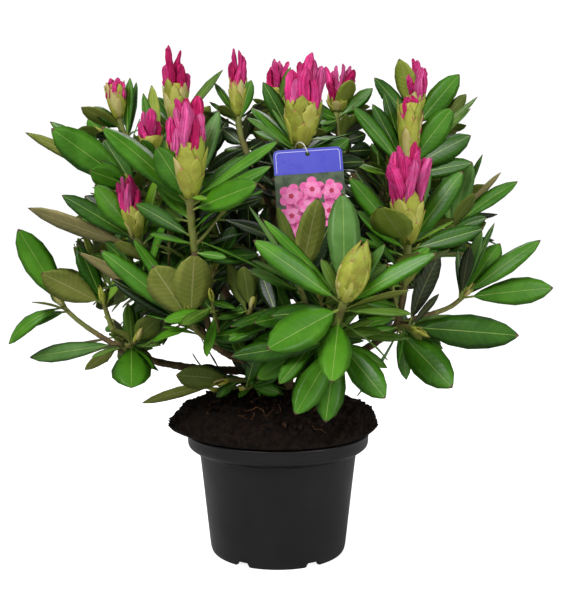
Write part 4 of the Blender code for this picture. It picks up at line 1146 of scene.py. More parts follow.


# leaves that the front shows, measured in the photo, for each shoot: the tip's pixel,
# how far it lies behind the shoot's tip in mm, the width as seen in pixels, the turn in
# degrees (at 0 it faces the front, at 90 upwards, beyond that its underside shows), the tone,
# the way down the shoot in mm and sometimes the bend
seenColumns = ("across", "down", "behind", "width", "turn", "tone", "drop", "bend")
# of the tones, black and dusky paint shade, and paintedSheen paints a sheen of light
seenLeaves = {
    ("left_top", 0): [
        (93, 106.5, -20, 15, 35, "deep", 16), (81, 106.5, -34, 17, 150, "olive", 17),
        (130.3, 77.5, 8, 11, 35, "mid", 30), (136.5, 81.5, 22, 9, 45, "deep", 32)],
    ("left_top", 1): [
        (89, 171, -30, 27, 8, "mid", 1), (49.5, 121, 30, 16, 25, "mid", 9),
        (24.5, 132, 30, 14, 155, "olive", 20), (51, 128, -12, 36, 8, "mid", 6),
        (100, 160, -22, 9, 35, "deep", 5), (104, 139, 14, 24, 10, "deep", 8)],
    ("left_top", 2): [
        (223, 69, -10, 10, 45, "dull", 14), (158, 97, 0, 5, 35, "deep", 6)],
    ("left_top", 3): [
        (151.5, 84.5, 42, 15, 150, "pale", 8), (141, 139.5, -25, 14, 15, "deep", 26),
        (133, 134, -10, 9, 140, "dusky", 24), (168, 134, -8, 16, 20, "paintedSheen", 28),
        (143, 93, 12, 10, 30, "mid", 12)],
    ("left_front", 0): [
        (156, 147, -28, 30, 15, "mid", 8), (101, 126.5, -14, 25, 35, "mid", 12),
        (219, 110, 28, 20, 25, "paintedSheen", 5), (278.5, 141, -5, 10, 62, "bright", 8),
        (272, 166, -25, 12, 50, "bright", 12), (257, 184, -45, 30, 20, "bright", 17),
        (246, 156, 18, 16, 30, "mid", 10), (208, 199, -25, 6, 20, "yellow", 3),
        (135, 203, -22, 17, 20, "deep", 45), (227, 258, -8, 10, 25, "mid", 60),
        (262, 270, 12, 4, 60, "mid", 46)],
    ("left_front", 1): [
        (95, 184, -22, 25, 15, "bright", 6), (84, 196, 22, 26, 20, "black", 13),
        (61.5, 194.5, -4, 20, 20, "deep", 10), (27, 208, 12, 19, 140, "brown", 20, 0.05)],
    ("left_front", 2): [
        (100, 250, 12, 22, 20, "mid", 6), (77, 251, 25, 14, 150, "brown", 10),
        (132, 238, 8, 14, 25, "mid", 4), (111, 279, 24, 17, 20, "black", 12),
        (153, 266, -12, 38, 162, "olive", 5), (194, 254, -22, 42, 165, "olive", 3)],
    ("left_front", 3): [
        (243, 266, -15, 22, 160, "dusky", 4), (216, 318, -15, 10, 40, "deep", 6),
        (228, 262, 4, 16, 155, "dusky", 10)],
    ("front", 0): [
        (253, 240, -20, 27, 15, "bright", 8), (262, 219, 4, 10, 58, "bright", 6),
        (267, 349, -52, 42, 5, "bright", 12), (271, 316, -8, 22, 20, "deep", 17),
        (343, 193, 34, 33, 10, "paintedSheen", 6), (385, 244, -6, 14, 30, "paintedSheen", 10),
        (437, 253, -15, 18, 35, "bright", 11), (415, 289, -22, 7, 122, "olive", 15),
        (332, 383, -50, 36, 0, "bright", 24)],
    ("front", 1): [
        (318, 197, -10, 30, 160, "olive", 5), (277, 205, -4, 14, 150, "dusky", 7),
        (248, 204, -8, 6, 50, "paintedSheen", 9)],
    ("front", 2): [
        (231, 357, -8, 22, 18, "deep", 5), (295, 415, -40, 30, 0, "mid", 7),
        (325, 423, -28, 32, 0, "mid", 11), (385, 399, -38, 32, 0, "mid", 4),
        (388, 368, 10, 13, 35, "bright", 13)],
    ("right_low", 0): [
        (380, 206, -52, 38, 150, "pale", 4), (349.5, 177, -4, 20, 20, "mid", 8),
        (352, 165, 18, 12, 20, "black", 11), (463, 170, 6, 24, 20, "mid", 6),
        (484, 228, -18, 20, 22, "deep", 11), (455, 220, 4, 6, 60, "yellow", 7),
        (430, 163, 24, 15, 10, "paintedSheen", 5)],
    ("right_low", 1): [
        (554, 288, 0, 27, 12, "bright", 6), (541, 240, -10, 21, 25, "bright", 3),
        (515, 266, 6, 9, 150, "black", 8), (482, 231, -15, 12, 30, "paintedSheen", 4),
        (470, 246, -26, 14, 165, "black", 6), (500, 243, 16, 24, 12, "bright", 3),
        (494.5, 222, 14, 8, 30, "deep", 4), (458, 250, 6, 7, 40, "deep", 8)],
    ("right_low", 2): [
        (519, 336, -20, 37, 6, "deep", 8), (453, 388, -35, 38, 0, "mid", 32),
        (422, 340, -12, 8, 150, "olive", 12), (440, 253, 22, 20, 150, "black", 7),
        (439.5, 294, 6, 8, 150, "black", 4)],
    ("right_mid", 0): [
        (518, 181, -5, 14, 40, "mid", 7), (500, 215, -24, 16, 25, "deep", 11),
        (472, 161, -14, 20, 15, "paintedSheen", 6), (475, 193, -30, 14, 155, "dusky", 9),
        (505.5, 169, 12, 6, 125, "brown", 5), (483, 154, 18, 8, 35, "deep", 5),
        (445, 170, 4, 18, 15, "paintedSheen", 8)],
    ("right_top", 0): [
        (453, 108, -6, 28, 15, "mid", 8), (471, 135, -12, 26, 20, "deep", 11),
        (473, 163, -20, 18, 35, "deep", 19), (352, 106, -12, 16, 35, "mid", 11),
        (372, 104, 6, 16, 20, "deep", 8), (478, 96, 32, 8, 60, "dull", 14),
        (471, 108, 20, 7, 50, "dull", 15), (400, 80, 20, 11, 30, "paintedSheen", 10),
        (384, 92, 14, 14, 20, "deep", 10)],
    ("right_top", 1): [
        (399, 58.5, -14, 20, 150, "pale", 10), (374, 77, 0, 17, 20, "deep", 17),
        (460, 74, -12, 24, 15, "mid", 22), (431, 95, 4, 8, 30, "deep", 8)],
    ("right_top", 2): [
        (352, 79, -32, 16, 150, "pale", 7), (364, 96, -6, 14, 25, "deep", 9),
        (373, 88, -14, 14, 28, "mid", 12), (321, 112, -20, 12, 25, "mid", 13),
        (366, 134, 0, 14, 15, "black", 46), (372, 150, -6, 16, 15, "black", 60),
        (320, 124, -26, 5, 60, "paintedSheen", 15), (322, 131, -30, 12, 30, "deep", 17)],
    ("centre_top", 0): [
        (263, 82, 6, 17, 15, "deep", 7), (254, 109, -10, 9, 50, "mid", 9),
        (246, 117, -20, 7, 58, "paintedSheen", 11), (284, 93, 10, 8, 35, "yellow", 7),
        (272, 108, -15, 6, 40, "paintedSheen", 5)],
    ("centre_top", 1): [
        (251, 80, -6, 14, 20, "mid", 9), (217, 106, -15, 10, 150, "dusky", 7),
        (214, 82, 6, 7, 45, "deep", 9), (222, 128, 10, 16, 10, "black", 40),
        (264, 140, 10, 14, 15, "black", 46), (200, 93, 16, 7, 40, "deep", 13)],
    ("centre_top", 2): [
        (290.5, 67, -22, 8, 40, "dull", 13)],
    ("left_low", 0): [
        (18, 229, -10, 31, 8, "bright", 5), (8, 344, -8, 15, 42, "bright", 3, 1.25),
        (31, 326, 4, 9, 45, "mid", 10, 0.9)],
    ("left_low", 1): [
        (78, 244, 10, 20, 25, "deep", 4), (41, 273, -28, 31, 165, "olive", 3)],
    ("left_low", 2): [
        (29, 357, -6, 17, 32, "paintedSheen", 40, 0.1), (55, 351, 12, 4, 122, "brown", 24)],
    ("left_low", 3): [
        (131, 388, -50, 40, 5, "mid", 8), (158, 318, -10, 26, 160, "dusky", 5),
        (128, 303, 8, 14, 30, "dull", 8)],
    ("back_mid", 1): [
        (247, 190, -55, 22, 10, "black", 60), (268, 205, -70, 18, 10, "black", 84),
        (226, 206, -40, 20, 10, "black", 44)],
    ("back_right", 0): [
        (352, 176, -20, 22, 10, "black", 50), (344, 198, -30, 18, 10, "black", 62)],
    ("back_left", 1): [
        (246, 150, -20, 18, 15, "black", 24), (228, 118, -10, 16, 15, "black", 12)],
    ("low_left", 0): [
        (141, 403, -4, 12, 150, "olive", 5), (176, 375, -16, 26, 160, "dusky", 9)],
}
# the crown's edge as corners, measured by eye in the same pixels, and the sky within it as
# middles with radii, set by hand from a list of the photo's light patches, with their boxes and
# middles, that a scratch script printed; each corner and middle is across and down
crownEdge = [
    (7, 346), (9, 326), (24, 304), (46, 295), (40, 280), (17, 263), (12, 246), (20, 226),
    (33, 234), (50, 254), (60, 258), (74, 246), (40, 220), (25, 206), (46, 211), (68, 219),
    (60, 193), (84, 207), (86, 192), (93, 181), (88, 167), (72, 157), (40, 149), (23, 132),
    (36, 129), (54, 133), (48, 120), (80, 125), (79, 106), (93, 114), (92, 105), (107, 108),
    (110, 98), (127, 96), (130, 78), (137, 80), (143, 94), (151, 83), (160, 98), (184, 98),
    (200, 92), (223, 68), (227, 88), (234, 98), (247, 96), (252, 78), (259, 98), (262, 80),
    (270, 92), (291, 66), (292, 84), (318, 98), (330, 100), (352, 76), (362, 92), (374, 88),
    (374, 76), (387, 94), (388, 78), (399, 57), (410, 88), (426, 92), (432, 94), (460, 71),
    (461, 92), (479, 95), (467, 121), (473, 138), (458, 150), (469, 152), (484, 153), (479, 168),
    (483, 180), (507, 168), (486, 188), (487, 200), (519, 179), (519, 196), (501, 207),
    (502, 216), (488, 226), (496, 221), (492, 238), (504, 246), (522, 241), (543, 239),
    (528, 260), (484, 284), (530, 275), (555, 286), (549, 298), (515, 304), (465, 300),
    (446, 307), (482, 321), (520, 334), (502, 350), (475, 353), (428, 348), (452, 368),
    (458, 380), (450, 389), (426, 390), (404, 384), (387, 368), (387, 400), (352, 404),
    (326, 425), (294, 417), (286, 400), (205, 398), (150, 408), (139, 402), (160, 391),
    (156, 388), (130, 390), (112, 370), (84, 370), (28, 358), (56, 349), (96, 342), (72, 310),
    (64, 316), (30, 328), (18, 346),
]
skyGaps = [
    (85, 317, 11), (106, 318, 7), (119, 312, 5), (84, 299, 4), (104, 339, 4), (178, 352, 14),
    (162, 356, 9), (194, 345, 7), (218, 353, 6), (229, 367, 6), (414, 300, 12), (432, 290, 12),
    (446, 270, 12), (430, 303, 8), (365, 349, 6), (357, 318, 3), (226, 105, 5), (236, 140, 4),
    (251, 154, 3), (360, 148, 3), (372, 98, 3), (240, 288, 4), (367, 365, 3), (262, 95, 2),
]
viewpoint = Vector(view["place"])
# the room kept free, in metres: walls along the lines of sight run this far to both sides of
# the upright plane through the pot's axis, and the room before a leaf, a bud or a stalk lies
# between these distances from it
sight = {"wallReach": 0.36, "leafRoom": (0.004, 0.15), "budRoom": (0.012, 0.14),
         "stalkRoom": (0.010, 0.14), "budShare": 0.42, "farthestBud": 0.13}


def seenPlace(across, down, behind):
    # where the line of sight through a pixel meets the upright plane at y = behind, in whole
    # mm; and its distance along the view's axis, in metres
    pitch = math.radians(view["pitch"])
    side = (across - view["middle"][0]) / view["focus"]
    rise = (view["middle"][1] - down) / view["focus"]
    ahead = math.cos(pitch) + rise * math.sin(pitch)
    x, y, z = view["place"]
    reach = (behind - y) / ahead
    height = reach * (rise * math.cos(pitch) - math.sin(pitch))
    depth = (behind - y) * math.cos(pitch) - height * math.sin(pitch)
    return [round(v * 1000) for v in (x + reach * side, behind, z + height)], depth


def sightWall(places, back, ahead):
    # a closed wall along the lines of sight through the places, from one distance towards
    # the viewpoint to another
    points = []
    for place in places:
        way = (viewpoint - place).normalized()
        points += [place + way * back, place + way * ahead]
    count = len(points)
    quads = [(i, i + 1, (i + 3) % count, (i + 2) % count) for i in range(0, count, 2)]
    middle = sum(points, Vector()) / count
    reach = max((point - middle).length for point in points)
    return obstacle(middle, reach, BVHTree.FromPolygons(points, quads))


def leafWall(leaf):
    # keeps the room before a seen leaf free of other leaves
    side = leaf["way"].cross(leaf["up"]) * leaf["width"] * 0.3
    line = [leafLine(leaf, share)[0] for share in (0.34, 0.55, 0.78)]
    corners = [p + side for p in line] + [leafLine(leaf, 0.92)[0]] + [p - side for p in line[::-1]]
    return sightWall(corners, *sight["leafRoom"])


def seenLeaf(one, row, rng):
    # the true width is the seen one over the cosine of the turn, or over 0.3 where that is
    # less; the bend is drawn where the row names none
    seen = dict(zip(seenColumns, (*row, rng.uniform(0.1, 0.4))))
    behind = round(one["tip"].y, 6) + seen["behind"] / 1000
    tip, depth = seenPlace(seen["across"], seen["down"], behind)
    turn, drop, bend = math.radians(seen["turn"]), seen["drop"] * mm, seen["bend"]
    width = round(seen["width"] * depth / view["focus"] * 1000 / max(abs(math.cos(turn)), 0.3))
    root = downShoot(one, drop)
    chord = Vector(tip) * mm - root
    way = chord.normalized()
    front = viewpoint - root - chord / 2
    front = (front - way * front.dot(way)).normalized()
    over = way.cross(front)
    over = over if over.z > 0 else -over
    up = front * math.cos(turn) + over * math.sin(turn)
    lifted = Matrix.Rotation(bend / 2, 3, way.cross(up))
    return {"shoot": one, "root": root, "way": lifted @ way, "up": lifted @ up,
            "length": chord.length * bend / 2 / math.sin(bend / 2), "tone": seen["tone"],
            "width": width * mm / leafShape["narrow"], "curl": bend, "fold": rng.uniform(0, 0.12),
            "rings": shownRings, "shown": 1}


def growSeen(limbs):
    # each leaf a little aside where others leave no room for it, or else as it was measured
    rng = random.Random(finer["seenSeed"])
    grown, taken = [], []
    for (mass, index), rows in seenLeaves.items():
        one = masses[mass]["shoots"][index]
        for row in rows:
            leaf = seenLeaf(one, row, rng)
            found = settle(leaf, taken + shootObstacles(limbs, mass, index), rng,
                           *finer["seenTries"])
            leaf, place = found or (leaf, leafObstacle(leaf))
            grown.append(leaf)
            taken.append(place)
    return grown, taken, [leafWall(leaf) for leaf in grown]


def headOn(leaf):
    # a fill leaf that points straight at the front looks like a dark ball
    return leaf["way"].dot((viewpoint - leaf["root"]).normalized()) > finer["headOn"]


def regrow(limbs, leaves, taken, keptClear):
    # the source's other leaves again, turned aside from those that the front shows
    rng = random.Random(finer["againSeed"])
    grown = []
    keys = {id(one): (mass, index) for mass, index, one in mainShoots}
    for leaf in leaves:
        if leaf["shown"]:
            continue
        field = taken + shootObstacles(limbs, *keys[id(leaf["shoot"])]) + keptClear
        found = settle(leaf, field, rng, finer["tries"], finer["againAside"])
        if found and not headOn(found[0]):
            grown.append(found[0])
            taken.append(found[1])
    return grown


def sightBox(one):
    # the room before a bud, towards the front, that fill leaves leave open
    low = one["tip"] - one["axis"] * 0.006
    high = one["tip"] + one["axis"] * one["bud"]["length"]
    side = one["bud"]["width"] * sight["budShare"]
    near, far = sight["budRoom"]
    return clearSpace((min(low.x, high.x) - side, low.y - far, low.z),
                      (max(low.x, high.x) + side, low.y - near, high.z))


sights = [sightBox(one) for _, _, one in mainShoots
          if one["bud"] is not leafBud and one["tip"].y < sight["farthestBud"]]
# the bare stalk under the tall bud at the front left shows too
stalk = masses["left_front"]["shoots"][0]["tip"]
near, far = sight["stalkRoom"]
sights.append(clearSpace((stalk.x - 0.012, stalk.y - far, stalk.z - 0.062),
                         (stalk.x + 0.004, stalk.y - near, stalk.z)))
outlines = [[seenPlace(*corner, 0.0)[0] for corner in crownEdge]]
for across, down, size in skyGaps:
    x, y, z = seenPlace(across, down, 0.0)[0]
    radius = round(size * 1000 / view["axisScale"])
    turns = [math.pi * k / 4 for k in range(8)]
    outlines.append([(x + radius * math.cos(t), y, z + radius * math.sin(t)) for t in turns])
for outline in outlines:
    places = [Vector(corner) * mm for corner in outline]
    sights.append(sightWall(places, -sight["wallReach"], sight["wallReach"]))
seen, taken, walls = growSeen(limbs)
sights += walls
leaves = seen + regrow(limbs, leaves, taken, keptClear + sights)
print("leaves that the front shows:", len(seen), "and with those behind them:", len(leaves))
extraLeaves, sideShoots = growFiner(limbs, taken, keptClear + sights)
extraLeaves += fillInside(limbs, taken, keptClear + sights)
extraLeaves = [leaf for leaf in extraLeaves if not headOn(leaf)]
print("finer growth:", len(extraLeaves), "leaves on", len(sideShoots), "side shoots and the twigs")


# leaves

# black, and the dusky underside, are darkened tones that paint the shade deep in the crown;
# paintedSheen is a lighter tone that paints the sheen of soft light on a glossy top
topTones = {
    "deep": ((34, 74, 8), (50, 98, 14)), "mid": ((52, 104, 12), (68, 126, 20)),
    "bright": ((62, 120, 16), (80, 140, 24)),
    "yellow": ((94, 140, 26), (112, 156, 38)),
    "dull": ((66, 100, 28), (88, 122, 42)),
    "paintedSheen": ((72, 114, 46), (90, 132, 62)), "black": ((16, 36, 6), (25, 48, 9)),
}
underTones = {
    "olive": ((112, 124, 42), (128, 136, 56)),
    "brown": ((128, 122, 70), (146, 136, 86)),
    "pale": ((130, 152, 48), (150, 164, 62)),
    "dusky": ((78, 96, 26), (96, 112, 38)), "black": ((26, 40, 12), (38, 50, 18)),
}


def leafRings(grown, rng):
    # the centre line is an arc; across it a blade of half width w lies at height
    # w (fold a - droop a^3) + a small wave a^2, where a runs from 0 at the rib to 1 at the
    # edge; the petiole is round
    root, way, up, length, width, curl, fold = (
        np.array([np.array(leaf[key]) for leaf in grown])
        for key in ("root", "way", "up", "length", "width", "curl", "fold"))
    count = len(grown)
    station = np.array(leafShape["stations"])
    turned = curl[:, None] * station
    along = np.sin(turned) / curl[:, None]
    down = (1 - np.cos(turned)) / curl[:, None]
    line = root[:, None] + length[:, None, None] * (along[..., None] * way[:, None]
                                                    - down[..., None] * up[:, None])
    over = np.cos(turned)[..., None] * up[:, None] + np.sin(turned)[..., None] * way[:, None]
    side = np.cross(way, up)[:, None] + 0 * over
    twist = np.radians(rng.uniform(-1, 1, (count, 1)) * leafShape["twist"])
    twist = twist * station * (station > 0.15)
    side, over = (side * np.cos(twist)[..., None] + over * np.sin(twist)[..., None],
                  over * np.cos(twist)[..., None] - side * np.sin(twist)[..., None])
    shares = np.array([w or 0.0 for w in leafShape["widths"]])
    skew = rng.uniform(-leafShape["skew"], leafShape["skew"], (count, 1))
    skew = 1 + skew * np.sin(2 * np.pi * station)
    half = width[:, None] / 2 * leafShape["narrow"] * shares * skew
    droop = rng.uniform(*leafShape["droop"], (count, 1))
    phase = rng.uniform(0, 2 * np.pi, (count, 1))
    turns = rng.uniform(1.2, 2.6, (count, 1))
    wave = leafShape["wave"] * np.sin(2 * np.pi * turns * station + phase)
    rib = leafShape["ribWidth"] / 2 * (1.25 - 0.8 * station)
    # nine points across: two to each side of the rib's two, then three on the underside
    across = np.empty((count, len(station), 9))
    height = np.empty_like(across)
    for column, a in ((0, 1.0), (1, 0.52), (4, -0.52), (5, -1.0)):
        signed = wave if a > 0 else -wave * 0.8
        across[..., column] = half * a
        height[..., column] = half * (fold[:, None] * abs(a) - droop * abs(a) ** 3 + signed * a * a)
    for column, a in ((2, 1), (3, -1)):
        across[..., column] = np.minimum(rib, half * 0.4) * a
        height[..., column] = -leafShape["ribDrop"]
    thin = leafShape["thin"]
    across[..., 6], height[..., 6] = across[..., 4], height[..., 4] - thin
    across[..., 7], height[..., 7] = 0.0, -leafShape["ribDrop"] - thin * 1.6
    across[..., 8], height[..., 8] = across[..., 1], height[..., 1] - thin
    around = np.radians([180, 145, 100, 80, 35, 0, -45, -90, -135])
    for station, size in ((0, 1.0), (1, 1.05)):
        across[:, station] = -np.cos(around) * plant["petioleRadius"] * size
        height[:, station] = np.sin(around) * plant["petioleRadius"] * size * 0.85
    points = (line[:, :, None] + side[:, :, None] * across[..., None]
              + over[:, :, None] * height[..., None])
    foot = root - way * 0.0008
    full = curl[:, None]
    tip = root + length[:, None] * (np.sin(full) / full * way - (1 - np.cos(full)) / full * up)
    return points, foot, tip


def leafPiece(name, grown, finishes, rng, tones, unders, *replaced):
    body = closedBodies(*leafRings(grown, rng))
    # the underside is split along the same diagonals as the top, so that they never cross
    body["quads"][:, :, 5:] = np.roll(body["quads"][:, :, 5:], -1, axis=-1)
    across = np.array([0, 0.24, 0.485, 0.515, 0.76, 1.0, 0.76, 0.5, 0.24])
    along = np.array(leafShape["stations"])[:, None]
    uv = np.stack(np.broadcast_arrays(along, across), -1).reshape(-1, 2)
    uv = np.tile(np.concatenate([uv, [[0, 0.5], [1, 0.5]]]), (len(grown), 1))
    top = len(topTones)
    ribSlot = top + len(underTones)
    stalkSlot, tipSlot = ribSlot + 1, ribSlot + 2
    slots = np.empty(body["quads"].shape[:-1], int)
    slots[:] = tones[:, None, None]
    slots[:, :, 5:] = (top + unders)[:, None, None]
    slots[:, :, 2] = ribSlot
    slots[:, 0] = stalkSlot
    ends = np.array([stalkSlot, tipSlot])[:, None]
    piece = putPiece(name, "leaves", body, finishes, slots, ends, uv, replaced=replaced)
    return len(piece.data.polygons)


veined = 3  # the first under tones show their veins
leafFinishes = [
    makeFinish(f"leafTop{i}", *tones, size=30, smooth=0.32, rough=0.46, veins=0.06,
               veinAndFoldShadeColour=(120, 165, 60), veinAndFoldShadeShare=0.22, coat=0.04, specular=0.26)
    for i, tones in enumerate(topTones.values())
] + [
    makeFinish(f"leafUnder{i}", *tones, size=40, smooth=0.55, rough=0.7,
               veins=0.10 if i < veined else 0.02, veinAndFoldShadeColour=(176, 172, 112),
               veinAndFoldShadeShare=0.6 if i < veined else 0.25, rib=0.022, specular=0.3)
    for i, tones in enumerate(underTones.values())
] + [
    makeFinish("leafRib", (112, 146, 56), (136, 164, 76), size=60, smooth=0.4, rough=0.5),
    makeFinish("leafStalk", (132, 150, 62), (112, 124, 54), size=60, smooth=0.4, rough=0.55),
    makeFinish("leafTip", (96, 74, 40), (70, 60, 34), size=80, smooth=0.6, rough=0.8),
]
# the inside of the crown, where the leaves get darker tones as painted shade: a ball flattened a
# little; stray is the share of a spray's leaves that get another tone
inside = {"middle": (0, 0, 0.33), "radius": 0.155, "squash": (1, 1, 1.1), "stray": 0.25}


def dealTones(grown, rng):
    # one tone for a spray, and another for about a quarter of its leaves; tops inside the crown
    # are darkened to deep or black and undersides to black, as painted shade. A leaf with a tone of its
    # own keeps it
    order = {}
    for leaf in grown:
        order.setdefault(id(leaf["shoot"]), len(order))
    spray = rng.choice([0, 1, 1, 2, 2, 3, 4], size=len(order))
    tones = np.array([spray[order[id(leaf["shoot"])]] for leaf in grown])
    stray = rng.random(len(grown))
    tones = np.where(stray < inside["stray"], rng.integers(0, 5, len(grown)), tones)
    away = np.array([leafLine(leaf, 0.6)[0] for leaf in grown]) - np.array(inside["middle"])
    shadedInside = np.linalg.norm(away * inside["squash"], axis=1) < inside["radius"]
    deep, black = (list(topTones).index(tone) for tone in ("deep", "black"))
    tones = np.where(shadedInside, np.where(tones > 1, deep, black), tones)
    # three in four fill leaves get the dusky or black underside, tones that paint shade
    unders = rng.choice([0, 3, 3, 4], size=len(grown))
    unders = np.where(shadedInside, list(underTones).index("black"), unders)
    for kinds, dealt in ((topTones, tones), (underTones, unders)):
        for n, leaf in enumerate(grown):
            if leaf.get("tone") in kinds:
                dealt[n] = list(kinds).index(leaf["tone"])
    return tones, unders


# two pieces, so that neither is too heavy: the outer leaves with a third of the finer ones, and
# the rest
toneRng = np.random.default_rng(leafShape["toneSeed"])
allLeaves = leaves + extraLeaves
tones, unders = dealTones(allLeaves, toneRng)
outer = len(leaves) + len(extraLeaves) // 3
faces = leafPiece("leaves", allLeaves[:outer], leafFinishes, toneRng, tones[:outer], unders[:outer],
                  *[n for n in nodes if n.startswith("foliage_")])
faces += leafPiece("innerLeaves", allLeaves[outer:], leafFinishes, toneRng, tones[outer:],
                   unders[outer:])
print("leaves made:", len(allLeaves), "with", faces, "faces")


# twigs, boughs and trunk

bark = {
    "scarStep": 0.013, "ridgeSize": 0.006, "trunkSides": 56, "trunkRings": 60, "rootLobes": 5,
    "twigRings": 30, "stoutFoot": 0.0034, "stoutTip": 0.0040, "green": 0.055,
    "trunkShares": (0, 0.08, 0.2, 0.4, 0.62, 0.74, 0.86, 0.95, 1.0),
    "trunkRadii": (0.0225, 0.0175, 0.0148, 0.0130, 0.0132, 0.0156, 0.0150, 0.0100, 0.0030),
}


def resampled(points, count):
    # the same polyline with count points, evenly spaced along it
    points = np.array([tuple(p) for p in points])
    run = np.concatenate([[0], np.cumsum(np.linalg.norm(np.diff(points, axis=0), axis=1))])
    where = np.linspace(0, run[-1], count)
    return np.stack([np.interp(where, run, points[:, i]) for i in range(3)], axis=-1)


def limbPiece(name, slot, finishes, paths, first, last, sides, relief, seed, rings, slots=None,
              replaced=()):
    # tapering tubes from the radius first to last; the radius grows at each node of old
    # leaves and wanders with the noise
    first, last = (np.broadcast_to(radius, len(paths))[:, None] for radius in (first, last))
    lines = np.array([resampled(p, rings) for p in paths])
    radii = first + (last - first) * np.linspace(0, 1, rings)
    steps = np.linalg.norm(np.diff(lines, axis=1), axis=2)
    run = np.concatenate([np.zeros((len(paths), 1)), np.cumsum(steps, axis=1)], axis=1)
    knots = np.maximum(0, np.cos(2 * np.pi * run / bark["scarStep"])) ** 6 * relief * 0.8
    places, circle = tubeRings(lines, radii, sides)
    wander = smoothNoise(places, seed, bark["ridgeSize"], 3) * relief
    lift = radii[..., None] * (knots[..., None] + wander)
    places = places + circle * lift[..., None]
    foot = lines[:, 0] - unit(lines[:, 1] - lines[:, 0]) * 0.0004
    tip = lines[:, -1] + unit(lines[:, -1] - lines[:, -2]) * 0.0006
    putPiece(name, slot, closedBodies(places, foot, tip), finishes, slots, replaced=replaced)


barkFinish = makeFinish("oldBark", (104, 86, 58), (70, 56, 38), size=70, smooth=0.75,
                        rough=0.95, relief=0.9, reliefSize=420, coarse=0.25, specular=0.2)
greenBark = makeFinish("greenBark", (122, 132, 62), (110, 104, 56), size=50, smooth=0.5,
                       rough=0.7, relief=0.35, reliefSize=700, specular=0.3)
brownBark = makeFinish("brownBark", (110, 92, 60), (84, 72, 46), size=60, smooth=0.7,
                       rough=0.9, relief=0.6, reliefSize=600, specular=0.25)

# twigs are brown up to the green of this year's growth
allShoots = [one for _, _, one in mainShoots]
stout = np.array([one["bud"] is not leafBud for one in allShoots])
twigSlots = np.zeros((len(allShoots), bark["twigRings"] - 1, 1), int)
for number, one in enumerate(allShoots):
    old = 1 - min(bark["green"] / pathLength(one), 0.8)
    twigSlots[number, : int((bark["twigRings"] - 1) * old)] = 1
limbPiece("twigs", "leaves", [greenBark, brownBark], [one["finePath"] for one in allShoots],
          np.where(stout, bark["stoutFoot"], plant["twigRadius"]),
          np.where(stout, bark["stoutTip"], plant["twigTip"] * 1.1), 10, 0.07, 31,
          bark["twigRings"], twigSlots)
limbPiece("sideTwigs", "leaves", [greenBark], [one["finePath"] for one in sideShoots],
          finer["twigRadius"], finer["twigRadius"] * 0.8, 6, 0.08, 32, 12)
stems = [facts["stem"] for facts in masses.values()]
limbPiece("stems", "leaves", [brownBark],
          [[foot, foot + way * plant["stemLength"]] for foot, way in stems],
          plant["boughTip"] * 1.08, plant["twigRadius"] * 1.25, 12, 0.1, 33, 8)
limbPiece("boughs", "bark", [barkFinish],
          [boughPath(facts, 24)[0] for facts in masses.values() if facts["fork"]],
          plant["boughRadius"] * 1.02, plant["boughTip"] * 1.04, 14, 0.10, 34, 60,
          replaced=[n for n in nodes if n.startswith("bough_")])


def trunkSurface():
    # a profile carried up the leaning line from the peat to the knuckle; lobes at the foot
    # fade out with height, and ridges wander round it
    rings, sides = bark["trunkRings"], bark["trunkSides"]
    share = np.linspace(0, 1, rings)
    profile = np.interp(share, bark["trunkShares"], bark["trunkRadii"])
    foot, head = np.array(trunkFacts["foot"]), np.array(trunkFacts["head"])
    top = trunkFacts["headRadius"]
    reach = np.interp(share, (0, 1), (0.0, 1 + top / (head[2] - foot[2])))
    line = foot + (head - foot) * np.minimum(reach, 1)[:, None]
    line[:, 2] = foot[2] + (head[2] - foot[2]) * reach - 0.0004
    turn = np.arange(sides) * 2 * np.pi / sides
    lobes = 1 + 0.20 * np.exp(-share / 0.16)[:, None] * np.cos(bark["rootLobes"] * turn + 0.6)
    circle = np.stack([np.cos(turn), np.sin(turn), 0 * turn], axis=-1)
    places = line[:, None] + circle * (profile[:, None] * lobes)[..., None]
    ridges = smoothNoise(places * [1, 1, 0.35], 41, bark["ridgeSize"], 4)
    places += circle * (ridges * profile[:, None] * 0.085)[..., None]
    return closedBodies(places[None], line[:1], line[-1:] + [0, 0, 0.0006])


putPiece("trunkBark", "bark", trunkSurface(), [barkFinish], replaced=["trunk"])
print("limbs made")


# flower buds: a cup of scales, and the furled blossoms that stand out of it

truss = {
    "scaleTurn": 137.5, "scales": 15, "closedScales": 17, "leafBudScales": 5, "opening": 0.10,
    "girth": 0.92, "flowerBud": 0.03, "ridges": 5, "floretSides": 20, "slender": 0.013, "seed": 9,
    "crumple": 0.26, "sway": 0.07,
    "floretShares": (0.0, 0.10, 0.20, 0.31, 0.42, 0.53, 0.64, 0.75, 0.84, 0.92, 0.975),
    "floretWidths": (0.40, 0.50, 0.64, 0.80, 0.94, 1.0, 1.0, 0.95, 0.85, 0.66, 0.38),
    "openShares": (0, 0.12, 0.35, 0.62, 0.85, 1.0),
    "openWidths": (0.30, 0.50, 0.76, 0.93, 1.0, 0.96),
    "closedShares": (0, 0.1, 0.25, 0.45, 0.68, 0.86, 1.0),
    "closedWidths": (0.26, 0.58, 0.88, 1.0, 0.84, 0.46, 0.08),
}
